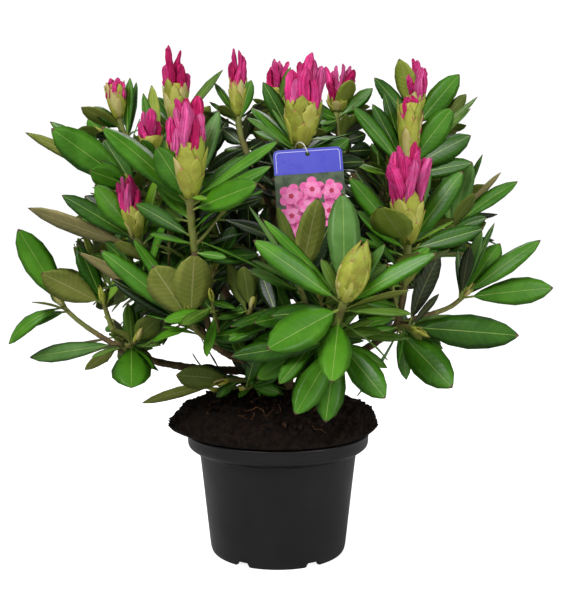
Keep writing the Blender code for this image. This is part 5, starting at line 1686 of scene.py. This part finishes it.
# what single buds differ in, for the shoots of a mass in their order: how far the blossoms
# stretch, how much of their lean they keep and how slim they are
budFactors = {
    "stretch": {"centre_top": (1.0, 1.06, 1.32), "right_top": (1.02, 1.2, 1.22),
                "left_top": (1.12, 1, 1.09)},
    "upright": {"right_low": (0.55,)},
    "slim": {"left_top": (1, 1, 0.74, 0.9), "left_front": (0.84, 0.92), "right_low": (0.82,),
             "centre_top": (0.78, 0.84, 0.9), "right_top": (0.9, 0.96, 0.86)},
}
scaleTones = [((176, 180, 70), (158, 156, 58)), ((196, 194, 100), (176, 174, 74)),
              ((158, 168, 58), (140, 140, 48)), ((198, 190, 122), (188, 172, 106))]
petalTones = [((255, 76, 164), (252, 52, 146)), ((255, 116, 188), (255, 90, 170)),
              ((236, 32, 122), (206, 16, 98))]


def frameOf(way):
    across = way.orthogonal().normalized()
    return np.array(way), np.array(across), np.array(way.cross(across))


def spokes(across, other, turn):
    # unit vectors at the turns about the axis that stands on across and other
    return across * np.cos(turn)[..., None] + other * np.sin(turn)[..., None]


def cupRadius(half, share, closed):
    # the cup's outline: it swells from the stalk almost to its mouth; a closed bud is widest
    # below its middle and draws in to a point
    kind = "closed" if closed else "open"
    return half * np.interp(share, truss[kind + "Shares"], truss[kind + "Widths"])


def scaleBodies(one, rng, number, height, half, opening, closed):
    # a scale is a thin strip on the cup: at six shares of its length it spans the listed half
    # angles about the cup's axis, and its tip leans out by the opening
    way, across, other = frameOf(one["axis"])
    foot = np.array(budSizes(one)[0])
    order = np.arange(number) / max(number - 1, 1)
    begin = 0.02 + 0.30 * order**1.3
    end = np.clip(0.40 + 0.64 * order**0.7 + rng.uniform(-0.06, 0.02, number), 0.3, 1.03)
    share = np.array([0.0, 0.2, 0.42, 0.64, 0.84, 0.96])
    along = begin[:, None] + (end - begin)[:, None] * share
    wide = np.array([0.72, 0.98, 1.0, 0.84, 0.48, 0.12]) * (0.95 if closed else 0.72)
    turn = np.radians(truss["scaleTurn"]) * np.arange(number) + rng.uniform(0, 6)
    layer = (1 - order) * 0.0009 + 0.0003
    radius = cupRadius(half, along, closed) + layer[:, None] * np.where(closed, 1 - 0.7 * share, 1)
    lean = opening * half * (share**3)[None] * rng.uniform(0.2, 1.0, (number, 1))
    radius = radius + lean
    # eight points round a strip's section: five on the outside, with a keel, and three within
    angles = np.array([-1, -0.5, 0, 0.5, 1, 0.5, 0, -0.5])
    inward = np.array([0.0003, 0, -0.00025, 0, 0.0003, 0.0009, 0.0010, 0.0009])
    keel = np.array([0, 0, 0.0004, 0, 0, 0, 0, 0])
    wide = wide * (1 + np.where(closed, 1.8, 0) * order[:, None] ** 3 * share**2)
    theta = turn[:, None, None] + wide[..., None] * angles
    r = radius[..., None] - inward + keel
    points = (foot + way * (along * height)[..., None, None]
              + spokes(across, other, theta) * r[..., None])
    out = spokes(across, other, turn)
    mouth = radius[:, -1] + lean[:, -1] * 0.15
    start = foot + way * ((begin - 0.02) * height)[:, None] + out * (radius[:, 0] - 0.0006)[:, None]
    tip = foot + way * ((end + 0.015) * height)[:, None] + out * mouth[:, None]
    return points, start, tip


def coreBody(one, height, half, closed):
    # the cup's inside, a little under its outline
    way, across, other = frameOf(one["axis"])
    foot = np.array(budSizes(one)[0])
    share = np.linspace(0, 1, 8)
    radius = cupRadius(half * 0.93, share, closed)
    circle = spokes(across, other, np.arange(12) * 2 * np.pi / 12)
    points = foot + way * (share * height * 0.96)[:, None, None] + circle * radius[:, None, None]
    return points[None], foot[None] - way * 0.001, (foot + way * height)[None]


def floretBodies(one, rng):
    # furled blossoms, an outer ring and some within it: a section has five soft ridges that
    # wind along it, the girth follows the widths, and the line bends outward by its lean
    size = one["bud"]
    way, across, other = frameOf(one["axis"])
    foot, half, cup = budSizes(one)
    half = half * one.get("slim", truss["girth"])
    foot = np.array(foot) + way * cup * 0.42
    reach = size["length"] - cup * 0.42
    slender = half < truss["slender"]
    outer = (5 if slender else 6) + size["petals"] // 3
    count = outer + (3 if slender else 5)
    isInner = np.arange(count) >= outer
    turn = np.where(isInner, np.arange(count) * 2.4, np.arange(count) * 2 * np.pi / outer)
    turn = turn + rng.uniform(-0.18, 0.18, count) + rng.uniform(0, 6)
    spread = np.radians(size["spread"]) * one.get("upright", 1.0)
    lean = np.where(isInner, spread * 0.45, spread) * rng.uniform(0.55, 1.25, count)
    lean = lean + rng.uniform(0, 0.05, count)
    out = spokes(across, other, turn)
    ring = np.where(isInner, 0.22, 0.50) * half
    length = reach * np.where(isInner, rng.uniform(0.84, 1.04, count), rng.uniform(0.58, 0.98, count))
    length = length * one.get("stretch", 1.0)
    begin = np.where(isInner, 0, rng.uniform(-0.12, 0.14, count)) * reach
    girth = half * np.where(isInner, 0.28, 0.34) * rng.uniform(0.80, 1.14, count)
    share = np.array(truss["floretShares"])
    bend = (lean[:, None] * (0.5 + 0.5 * share)) * share
    bulge = 1 + 0.24 * np.sin(np.pi * share) - 0.12 * share**2
    sway = truss["sway"] * half * np.sin(5 * share + rng.uniform(0, 6, (count, 1))) * share * 4
    line = (foot + out[:, None] * (ring[:, None] * bulge + length[:, None] * np.sin(bend))[..., None]
            + way * (begin[:, None] + length[:, None] * share * np.cos(bend))[..., None]
            + np.cross(way, out)[:, None] * sway[..., None])
    angle = np.arange(truss["floretSides"]) * 2 * np.pi / truss["floretSides"]
    wind = rng.uniform(-2.2, 2.2, (count, 1, 1)) * share[:, None] + rng.uniform(0, 6, (count, 1, 1))
    fold = truss["ridges"] * angle + wind
    ridge = 1 + 0.22 * np.cos(fold) + 0.15 * np.sin(2 * fold + 0.5)
    r = girth[:, None, None] * np.array(truss["floretWidths"])[:, None] * ridge
    tangent = unit(np.gradient(line, axis=1))
    first = unit(np.cross(tangent, other + 0.01))
    circle = spokes(first[:, :, None], np.cross(tangent, first)[:, :, None], angle)
    points = line[:, :, None] + circle * r[..., None]
    points = points + circle * (smoothNoise(points, 61, 0.005, 2) * r * truss["crumple"])[..., None]
    tip = line[:, -1] + tangent[:, -1] * (length * 0.026)[:, None]
    return points, line[:, 0] - way * 0.001, tip


for kind, byMass in budFactors.items():
    for name, factors in byMass.items():
        for one, factor in zip(masses[name]["shoots"], factors):
            one[kind] = factor
budRng = np.random.default_rng(truss["seed"])
scaleParts, coreParts, floretParts = [], [], []
for one in allShoots + sideShoots:
    _, half, cup = budSizes(one)
    half *= truss["girth"]
    isOpen, isFlower = bool(one["bud"]["petals"]), one["bud"]["length"] > truss["flowerBud"]
    if isOpen:
        floretParts.append(floretBodies(one, budRng))
    if isFlower:
        coreParts.append(coreBody(one, cup * 1.04, half, not isOpen))
    number = truss["scales" if isOpen else "closedScales" if isFlower else "leafBudScales"]
    opening = truss["opening"] if isOpen else 0.0
    scaleParts.append(scaleBodies(one, budRng, number, cup * 1.1, half, opening, not isOpen))

scaleFinishes = [makeFinish(f"budScale{i}", *tones, size=90, smooth=0.45, rough=0.6, relief=0.3,
                            reliefSize=900, specular=0.35) for i, tones in enumerate(scaleTones)]
scaleFinishes.append(makeFinish("scaleTip", (150, 110, 60), (176, 96, 92), size=120,
                                smooth=0.6, rough=0.7))
# a dark magenta mixed in by the folds' mask paints shade into the petals' grooves
petalFinishes = [makeFinish(f"petal{i}", *tones, size=140, smooth=0.42, rough=0.55, veins=0.9,
                            veinAndFoldShadeColour=(156, 4, 76), veinAndFoldShadeShare=0.5, pattern=folds,
                            specular=0.30)
                 for i, tones in enumerate(petalTones)]


def tonedPiece(name, parts, finishes, tones, endTone=None):
    # bodies of one grid size, each with a tone drawn from tones, and with a map of its own
    # that is set aside from the others' by a step
    rings, foot, tip = (np.concatenate([part[i] for part in parts]) for i in range(3))
    body = closedBodies(rings, foot, tip)
    tone = budRng.choice(tones, size=len(rings))
    ends = np.repeat(tone[:, None, None], 2, axis=1)
    if endTone is not None:
        ends[:, 1] = endTone
    along = np.linspace(0, 1, rings.shape[1])[:, None]
    across = 1 - np.abs(np.arange(rings.shape[2]) * 2 / rings.shape[2] - 1)
    own = np.stack(np.broadcast_arrays(along, across), -1).reshape(-1, 2)
    own = np.concatenate([own, [[0, 0.5], [1, 0.5]]])
    uv = np.concatenate([own + [0.37 * n, 0.61 * n] for n in range(len(rings))])
    putPiece(name, "leaves", body, finishes, tone[:, None, None], ends, uv)


tonedPiece("budScales", scaleParts, scaleFinishes, [0, 0, 1, 2, 2, 3], 4)
tonedPiece("budCores", coreParts, scaleFinishes[:1], [0])
tonedPiece("blossoms", floretParts, petalFinishes, [0, 0, 1, 2])
print("buds made:", len(floretParts), "open ones")


# pot

potShape = {
    "sides": 240, "height": 0.138, "rim": 0.105, "collar": 0.0215, "bodyTop": 0.0905,
    "bodyFoot": 0.078, "wall": 0.0018, "notches": 6, "notchHalf": 5.6, "notchHeight": 0.0055,
    "base": 0.006,
}


def lathe(profile, sides, steps):
    # a polyline profile (radius, height) with rounded corners, turned about the Z axis
    profile = np.array(profile, float)
    for _ in range(steps):  # corner cutting: each piece gives its points at 1/4 and 3/4
        low = profile[:-1] * 0.75 + profile[1:] * 0.25
        high = profile[:-1] * 0.25 + profile[1:] * 0.75
        inner = np.stack([low, high], axis=1).reshape(-1, 2)
        profile = np.concatenate([profile[:1], inner[1:-1], profile[-1:]])
    turn = np.arange(sides) * 2 * np.pi / sides
    r, z = profile[:, 0][:, None], profile[:, 1][:, None]
    return np.stack([r * np.cos(turn), r * np.sin(turn), z + 0 * turn], axis=-1), turn


def potBody():
    top, rim = potShape["height"], potShape["rim"]
    fold, wall = top - potShape["collar"], potShape["wall"]
    body, foot = potShape["bodyTop"], potShape["bodyFoot"]
    slope = (body - foot) / fold
    base = potShape["base"]
    profile = [
        (foot - wall, base + 0.002), (body - wall, fold), (body - wall + 0.0004, fold + 0.001),
        (rim - 0.0090 - wall, top - 0.0190), (rim - 0.0035 - wall, top - 0.0145),
        (rim - 0.0008 - wall, top - 0.008), (rim - wall, top - 0.0012), (rim - wall * 0.8, top),
        (rim - wall * 0.2, top), (rim, top - 0.0006), (rim + 0.0001, top - 0.0022),
        (rim - 0.0006, top - 0.0030), (rim - 0.0007, top - 0.010), (rim - 0.0014, top - 0.0140),
        (rim - 0.0040, top - 0.0165), (rim - 0.0092, top - 0.0198), (body + 0.0012, fold + 0.0004),
        (body + 0.0002, fold - 0.0006), (body - slope * 0.03, fold - 0.03),
        (body - slope * 0.06, fold - 0.06), (body - slope * 0.09, fold - 0.09),
        (foot + slope * 0.012, 0.012), (foot + slope * 0.006, 0.006), (foot - 0.0004, 0.0018),
        (foot - 0.0014, 0.0), (foot - 0.0034, 0.0), (foot - 0.0050, 0.0012), (foot - 0.0056, base),
        (foot - 0.012, base),
    ]
    places, turn = lathe(profile, potShape["sides"], 2)
    # between the feet the lower edge is lifted, with a steep side to each gap
    step = np.radians(360 / potShape["notches"])
    off = np.abs((turn - np.radians(60) + step / 2) % step - step / 2)
    gap = np.clip((np.radians(potShape["notchHalf"]) - off) / np.radians(1.2) + 0.5, 0, 1)
    lifted = potShape["notchHeight"] * gap * (np.hypot(places[..., 0], places[..., 1]) > foot - 0.006)
    outside = np.arange(len(places))[:, None] > len(places) * 0.35
    places[..., 2] = np.where(outside, np.maximum(places[..., 2], lifted), places[..., 2])
    return closedBodies(places[None], np.array([[0, 0, base + 0.002]]), np.array([[0, 0, base]]))


plasticFinish = makeFinish("potPlastic", (26, 24, 24), (20, 19, 20), size=18, smooth=0.34,
                           rough=0.42, relief=0.10, reliefSize=1400, coarse=0.08, specular=0.32)
putPiece("potShell", "black_plastic", potBody(), [plasticFinish], replaced=["pot"])
print("pot made")


# peat

peatShape = {
    "sides": 260, "line": 260, "topRings": 150, "underStep": 6, "spill": 0.020,
    "rightSpill": 0.010, "seed": 51, "crumbs": 620, "fibres": 60,
    "dome": ((0, 0.187), (0.026, 0.186), (0.048, 0.183), (0.068, 0.178), (0.092, 0.167),
             (0.102, 0.152)),
    "noise": ((52, 0.040, 2), (53, 0.012, 3), (54, 0.0045, 2)), "rise": (0.0022, 0.0018, 0.0008),
    "calm": 0.016,
}


def peatRise(points, flat):
    # three sizes of lumps, coarse to fine, and the rise that they add together; round the
    # trunk the top is smooth
    lumps = [smoothNoise(points, *row) for row in peatShape["noise"]]
    rise = sum(lump * share for lump, share in zip(lumps, peatShape["rise"]))
    return lumps, rise * np.clip((flat - peatShape["calm"]) / 0.015, 0, 1)


def peatHeight(x, y):
    # the mound's rough top at a place: a smooth dome and the lumps' rise
    flat = np.hypot(x, y)
    dome = np.interp(flat, *zip(*peatShape["dome"]))
    return dome + peatRise(np.stack([x, y, 0 * x], axis=-1), flat)[1]


def peatBody():
    # a turned profile; above the rim it is pushed out along its radius by the spills on the
    # left and the right, and it gets lumps of three sizes
    rim, foot = potShape["height"], potShape["bodyFoot"]
    clear = potShape["wall"] + 0.0016
    profile = [(max(radius, 0.001), height) for radius, height in peatShape["dome"]] + [
        (0.1058, rim + 0.0042), (0.1050, rim + 0.0022), (0.1000, rim + 0.0010),
        (0.1020 - clear, rim - 0.0025), (0.1020 - clear, rim - 0.0135),
        (0.0965 - clear, rim - 0.0185), (0.0905 - clear, rim - 0.0215), (foot - clear, 0.0135),
        (foot - clear - 0.005, 0.0100), (0.001, 0.0100),
    ]
    count, top = peatShape["line"], peatShape["topRings"]
    line = resampled([(r, 0, z) for r, z in profile], count)
    line = line[[*range(top), *range(top, count, peatShape["underStep"]), count - 1]]
    turn = np.arange(peatShape["sides"]) * 2 * np.pi / peatShape["sides"]
    around = np.stack([np.cos(turn), np.sin(turn), 0 * turn], axis=-1)
    r, z = line[:, 0][:, None], line[:, 2][:, None]
    places = np.stack([r * np.cos(turn), r * np.sin(turn), z + 0 * turn], axis=-1)
    above = np.clip((z - rim - 0.001) / 0.008, 0, 1)
    (coarse, lumps, fine), rise = peatRise(places, r)
    left, right = np.maximum(0, -np.cos(turn)) ** 2, np.maximum(0, np.cos(turn)) ** 2
    spill = peatShape["spill"] * left + peatShape["rightSpill"] * right
    out = above * (spill * (r / 0.1) ** 4 + 0.0020 * coarse
                   + 0.0022 * lumps * (r > 0.03) + 0.0010 * fine)
    dip = smoothNoise(around, 55, 0.9, 2)
    out = out - above * 0.0022 * np.maximum(dip, 0) * (r > 0.09)
    places = places + around * out[..., None]
    places[..., 2] += above * rise
    return closedBodies(places[None], line[:1] * [0, 0, 1] + [[0, 0, 0.0004]],
                        line[-1:] * [0, 0, 1] - [[0, 0, 0.0002]])


peatFinish = makeFinish("peatMass", (32, 22, 16), (17, 12, 10), size=180, smooth=0.9,
                        rough=1.0, relief=1.0, reliefSize=900, coarse=0.3, specular=0.15)
putPiece("peatMound", "peat", peatBody(), [peatFinish], replaced=["peat"])


def crumbBodies(rng):
    # clods of peat: small rough balls half sunk in the mound's top, drawn in at its left edge
    count = peatShape["crumbs"]
    around = rng.uniform(0, 2 * np.pi, count)
    flat = 0.099 * np.sqrt(rng.uniform(0.05, 1.0, count))
    left = np.maximum(0, -np.cos(around)) ** 2
    x = flat * np.cos(around) + np.where(flat > 0.09, -0.006 * left, 0)
    within = flat - 0.002
    height = peatHeight(within * np.cos(around), within * np.sin(around)) + 0.0002
    size = 0.0009 + 0.0024 * rng.random(count) ** 2.5
    share = np.array([-0.72, 0.0, 0.72])
    turn = np.arange(6) * np.pi / 3
    ring = np.sqrt(1 - share**2)[:, None]
    ball = np.stack([ring * np.cos(turn), ring * np.sin(turn), share[:, None] + 0 * turn], -1)
    rough = 1 + rng.uniform(-0.28, 0.28, (count, 3, 6, 1))
    stretch = rng.uniform(0.7, 1.3, (count, 1, 1, 3))
    centre = np.stack([x, flat * np.sin(around), height], axis=-1)
    points = centre[:, None, None] + ball[None] * rough * stretch * size[:, None, None, None]
    poles = size[:, None] * [0, 0, 1]
    return closedBodies(points, centre - poles, centre + poles)


def fibreBodies(rng):
    # roots and straw: thin bent tubes that lie on the mound
    count, steps = peatShape["fibres"], 8
    around = rng.uniform(0, 2 * np.pi, count)
    flat = 0.098 * np.sqrt(rng.uniform(0.06, 1.0, count))
    course = rng.uniform(0, 2 * np.pi, count)
    length = rng.uniform(0.008, 0.030, count)
    bend = rng.uniform(-1.6, 1.6, count)
    share = np.linspace(0, 1, steps)
    course = course[:, None] + bend[:, None] * share
    step = length[:, None] / (steps - 1)
    x = (flat * np.cos(around))[:, None] + np.cumsum(np.cos(course) * step, axis=1)
    y = (flat * np.sin(around))[:, None] + np.cumsum(np.sin(course) * step, axis=1)
    pull = np.minimum(1, 0.100 / np.hypot(x, y))
    x, y = x * pull, y * pull
    hump = rng.uniform(0.0, 0.003, (count, 1)) * np.sin(np.pi * share)
    paths = np.stack([x, y, peatHeight(x, y) + 0.0004 + hump], axis=-1)
    radii = np.repeat(rng.uniform(0.00022, 0.00055, (count, 1)), steps, axis=1)
    return closedBodies(tubeRings(paths, radii, 5)[0], paths[:, 0], paths[:, -1])


peatRng = np.random.default_rng(peatShape["seed"])
crumbTones = {"crumbDark": ((40, 28, 20), (24, 17, 13)), "crumbBrown": ((74, 50, 32), (50, 34, 24))}
crumbFinishes = [makeFinish(name, *tones, size=300, smooth=0.9, rough=1.0, relief=0.8,
                            reliefSize=1500, specular=0.15) for name, tones in crumbTones.items()]
crumbs = crumbBodies(peatRng)
crumbSlots = peatRng.choice([0, 0, 0, 1], size=(peatShape["crumbs"], 1, 1))
putPiece("peatCrumbs", "peat", crumbs, crumbFinishes, crumbSlots, crumbSlots)
fibreFinish = makeFinish("peatFibre", (120, 82, 50), (84, 56, 36), size=200, smooth=0.8,
                         rough=0.95, relief=0.4, reliefSize=1500, specular=0.2)
putPiece("peatFibres", "peat", fibreBodies(peatRng), [fibreFinish])
print("peat made")


# label: a printed card with a blank blue header over a spray of pink blossoms, and its tie

cardLooks = {
    "header": 0.027, "line": 0.0006, "lineInset": 0.0026, "plate": 0.00012, "sink": 0.00004,
    "half": cardFacts["thickness"] / 2, "holeSides": 24, "seed": 17, "sprigs": 26, "sprig": 16,
    "blossoms": [(-0.020, -0.050, 0.0135), (0.002, -0.044, 0.0135), (0.022, -0.047, 0.0125),
                 (-0.021, -0.071, 0.0135), (-0.002, -0.065, 0.0150), (0.018, -0.068, 0.0135),
                 (-0.012, -0.088, 0.0135), (0.009, -0.086, 0.0140), (0.025, -0.087, 0.0090)],
}


def toCard(points, above=0.0):
    # card-frame points (x, y), lifted off its face, in the world
    place = np.array(cardPlace())
    full = np.concatenate([points, np.full(points.shape[:-1] + (1,), above)], axis=-1)
    return full @ place[:3, :3].T + place[:3, 3]


def flowerOutlines(centres, sizes, turns, sides=40):
    # five petals: the radius is r (0.60 + 0.40 |cos(5 a / 2)|^0.6)
    a = np.arange(sides) * 2 * np.pi / sides
    r = 0.60 + 0.40 * np.abs(np.cos(2.5 * (a[None] + turns[:, None]))) ** 0.6
    ways = np.stack([np.cos(a), np.sin(a)], axis=-1)
    return centres[:, None] + ways[None] * (r * sizes[:, None])[..., None]


def printInk(name, colour, patches, size):
    return makeFinish(name, colour, patches, size=size, smooth=0.25, rough=0.35, coat=0.3)


def printedSheet(name, loops, finish, thickness=cardLooks["plate"], above=0.0, *replaced):
    piece = bpy.data.objects.new(name, sheetMesh(loops, thickness, above))
    bpy.context.collection.objects.link(piece)
    piece.data.materials.append(finish)
    settlePiece(piece, "card", *replaced)


def cardPrint(name, outlines, level, colour, patches, size=200):
    # flat plates: outlines drawn at two heights and closed at both; a higher level lies on top
    high = cardLooks["half"] + level * cardLooks["plate"]
    low = cardLooks["half"] + (level - 1) * cardLooks["plate"] - cardLooks["sink"]
    middle = outlines.mean(axis=1)
    rings = np.stack([toCard(outlines, low), toCard(outlines, high)], axis=1)
    body = closedBodies(rings, toCard(middle, low), toCard(middle, high))
    ink = printInk(name + "Ink", colour, patches, size)
    putPiece(name, "card", body, [ink], smooth=False)


def topArcs(inset, bottom):
    # the two upper corners and the sides down to bottom, as an open line
    arcs = cardOutline(8, inset, cardFacts["corner"] - inset)[:18]
    return [(arcs[0][0], bottom)] + arcs + [(arcs[-1][0], bottom)]


hole = cardHole(cardLooks["holeSides"])
bottom, inset = -cardLooks["header"], cardLooks["lineInset"]
innerLine = topArcs(inset + cardLooks["line"], bottom + 0.002)[::-1]
printedSheet("cardSheet", [cardOutline(10), hole],
             printInk("cardPrint", (92, 108, 84), (58, 74, 54), 120),
             cardFacts["thickness"], 0.0, "label_card")
printedSheet("cardHeader", [topArcs(0.0003, bottom), hole],
             printInk("cardHeaderInk", (76, 78, 196), (77, 79, 197), 60),
             above=cardLooks["half"] + 0.5 * cardLooks["plate"])
printedSheet("cardLine", [topArcs(inset, bottom + 0.002) + innerLine],
             printInk("cardLineInk", (214, 214, 240), (196, 198, 234), 60),
             above=cardLooks["half"] + 1.5 * cardLooks["plate"])

# the print: small leaves strewn under the blossoms, each blossom in three sizes one on another
printRng = np.random.default_rng(cardLooks["seed"])
spots = np.array(cardLooks["blossoms"])
middles, radii = spots[:, :2], spots[:, 2]
turns = printRng.uniform(0, 6, len(spots))
sprigs = printRng.uniform((-0.030, -0.104), (0.030, -0.044), (cardLooks["sprigs"], 2))
around = np.arange(cardLooks["sprig"]) * np.pi / 8
blades = np.stack([np.cos(around) * 0.0065, np.sin(around) * 0.0022], -1)
ways = printRng.uniform(0, 6, len(sprigs))
spin = np.array([[np.cos(ways), np.sin(ways)], [-np.sin(ways), np.cos(ways)]]).transpose(2, 0, 1)
cardPrint("cardFoliage", sprigs[:, None] + blades @ spin, 1, (120, 140, 100), (70, 96, 60))
cardPrint("cardPetals", flowerOutlines(middles, radii, turns), 2, (250, 128, 190),
          (236, 92, 168), 160)
cardPrint("cardInner", flowerOutlines(middles, radii * 0.66, turns + 0.6), 3, (255, 160, 208),
          (246, 122, 188), 160)
cardPrint("cardHearts", flowerOutlines(middles, radii * 0.22, turns), 4, (206, 50, 96),
          (180, 40, 70), 160)


def tieBody(sides=8):
    # a round section carried along the loop, which closes on itself
    line = np.array([tuple(p) for p in tiePoints((0.0, 0.25, 0.5, 0.75))])
    way = unit(np.roll(line, -1, axis=0) - np.roll(line, 1, axis=0))
    across = unit(np.cross(way, [0.2, 0.3, 1.0]))
    other = np.cross(way, across)
    turn = np.arange(sides) * 2 * np.pi / sides
    circle = spokes(across[:, None], other[:, None], turn)
    points = line[:, None] + cardFacts["tieRadius"] * circle
    ring, side = np.meshgrid(np.arange(len(line)), np.arange(sides), indexing="ij")
    here, beyond = ring * sides, (ring + 1) % len(line) * sides
    after = (side + 1) % sides
    quads = np.stack([here + side, here + after, beyond + after, beyond + side], -1)
    return {"points": points.reshape(-1, 3), "quads": quads, "ends": np.zeros((0, 3), int)}


tieFinish = makeFinish("tiePlastic", (232, 232, 226), (214, 214, 206), size=300, smooth=0.35,
                       rough=0.5)
putPiece("labelTie", "tie", tieBody(), [tieFinish], replaced=["label_tie"])
print("label made")
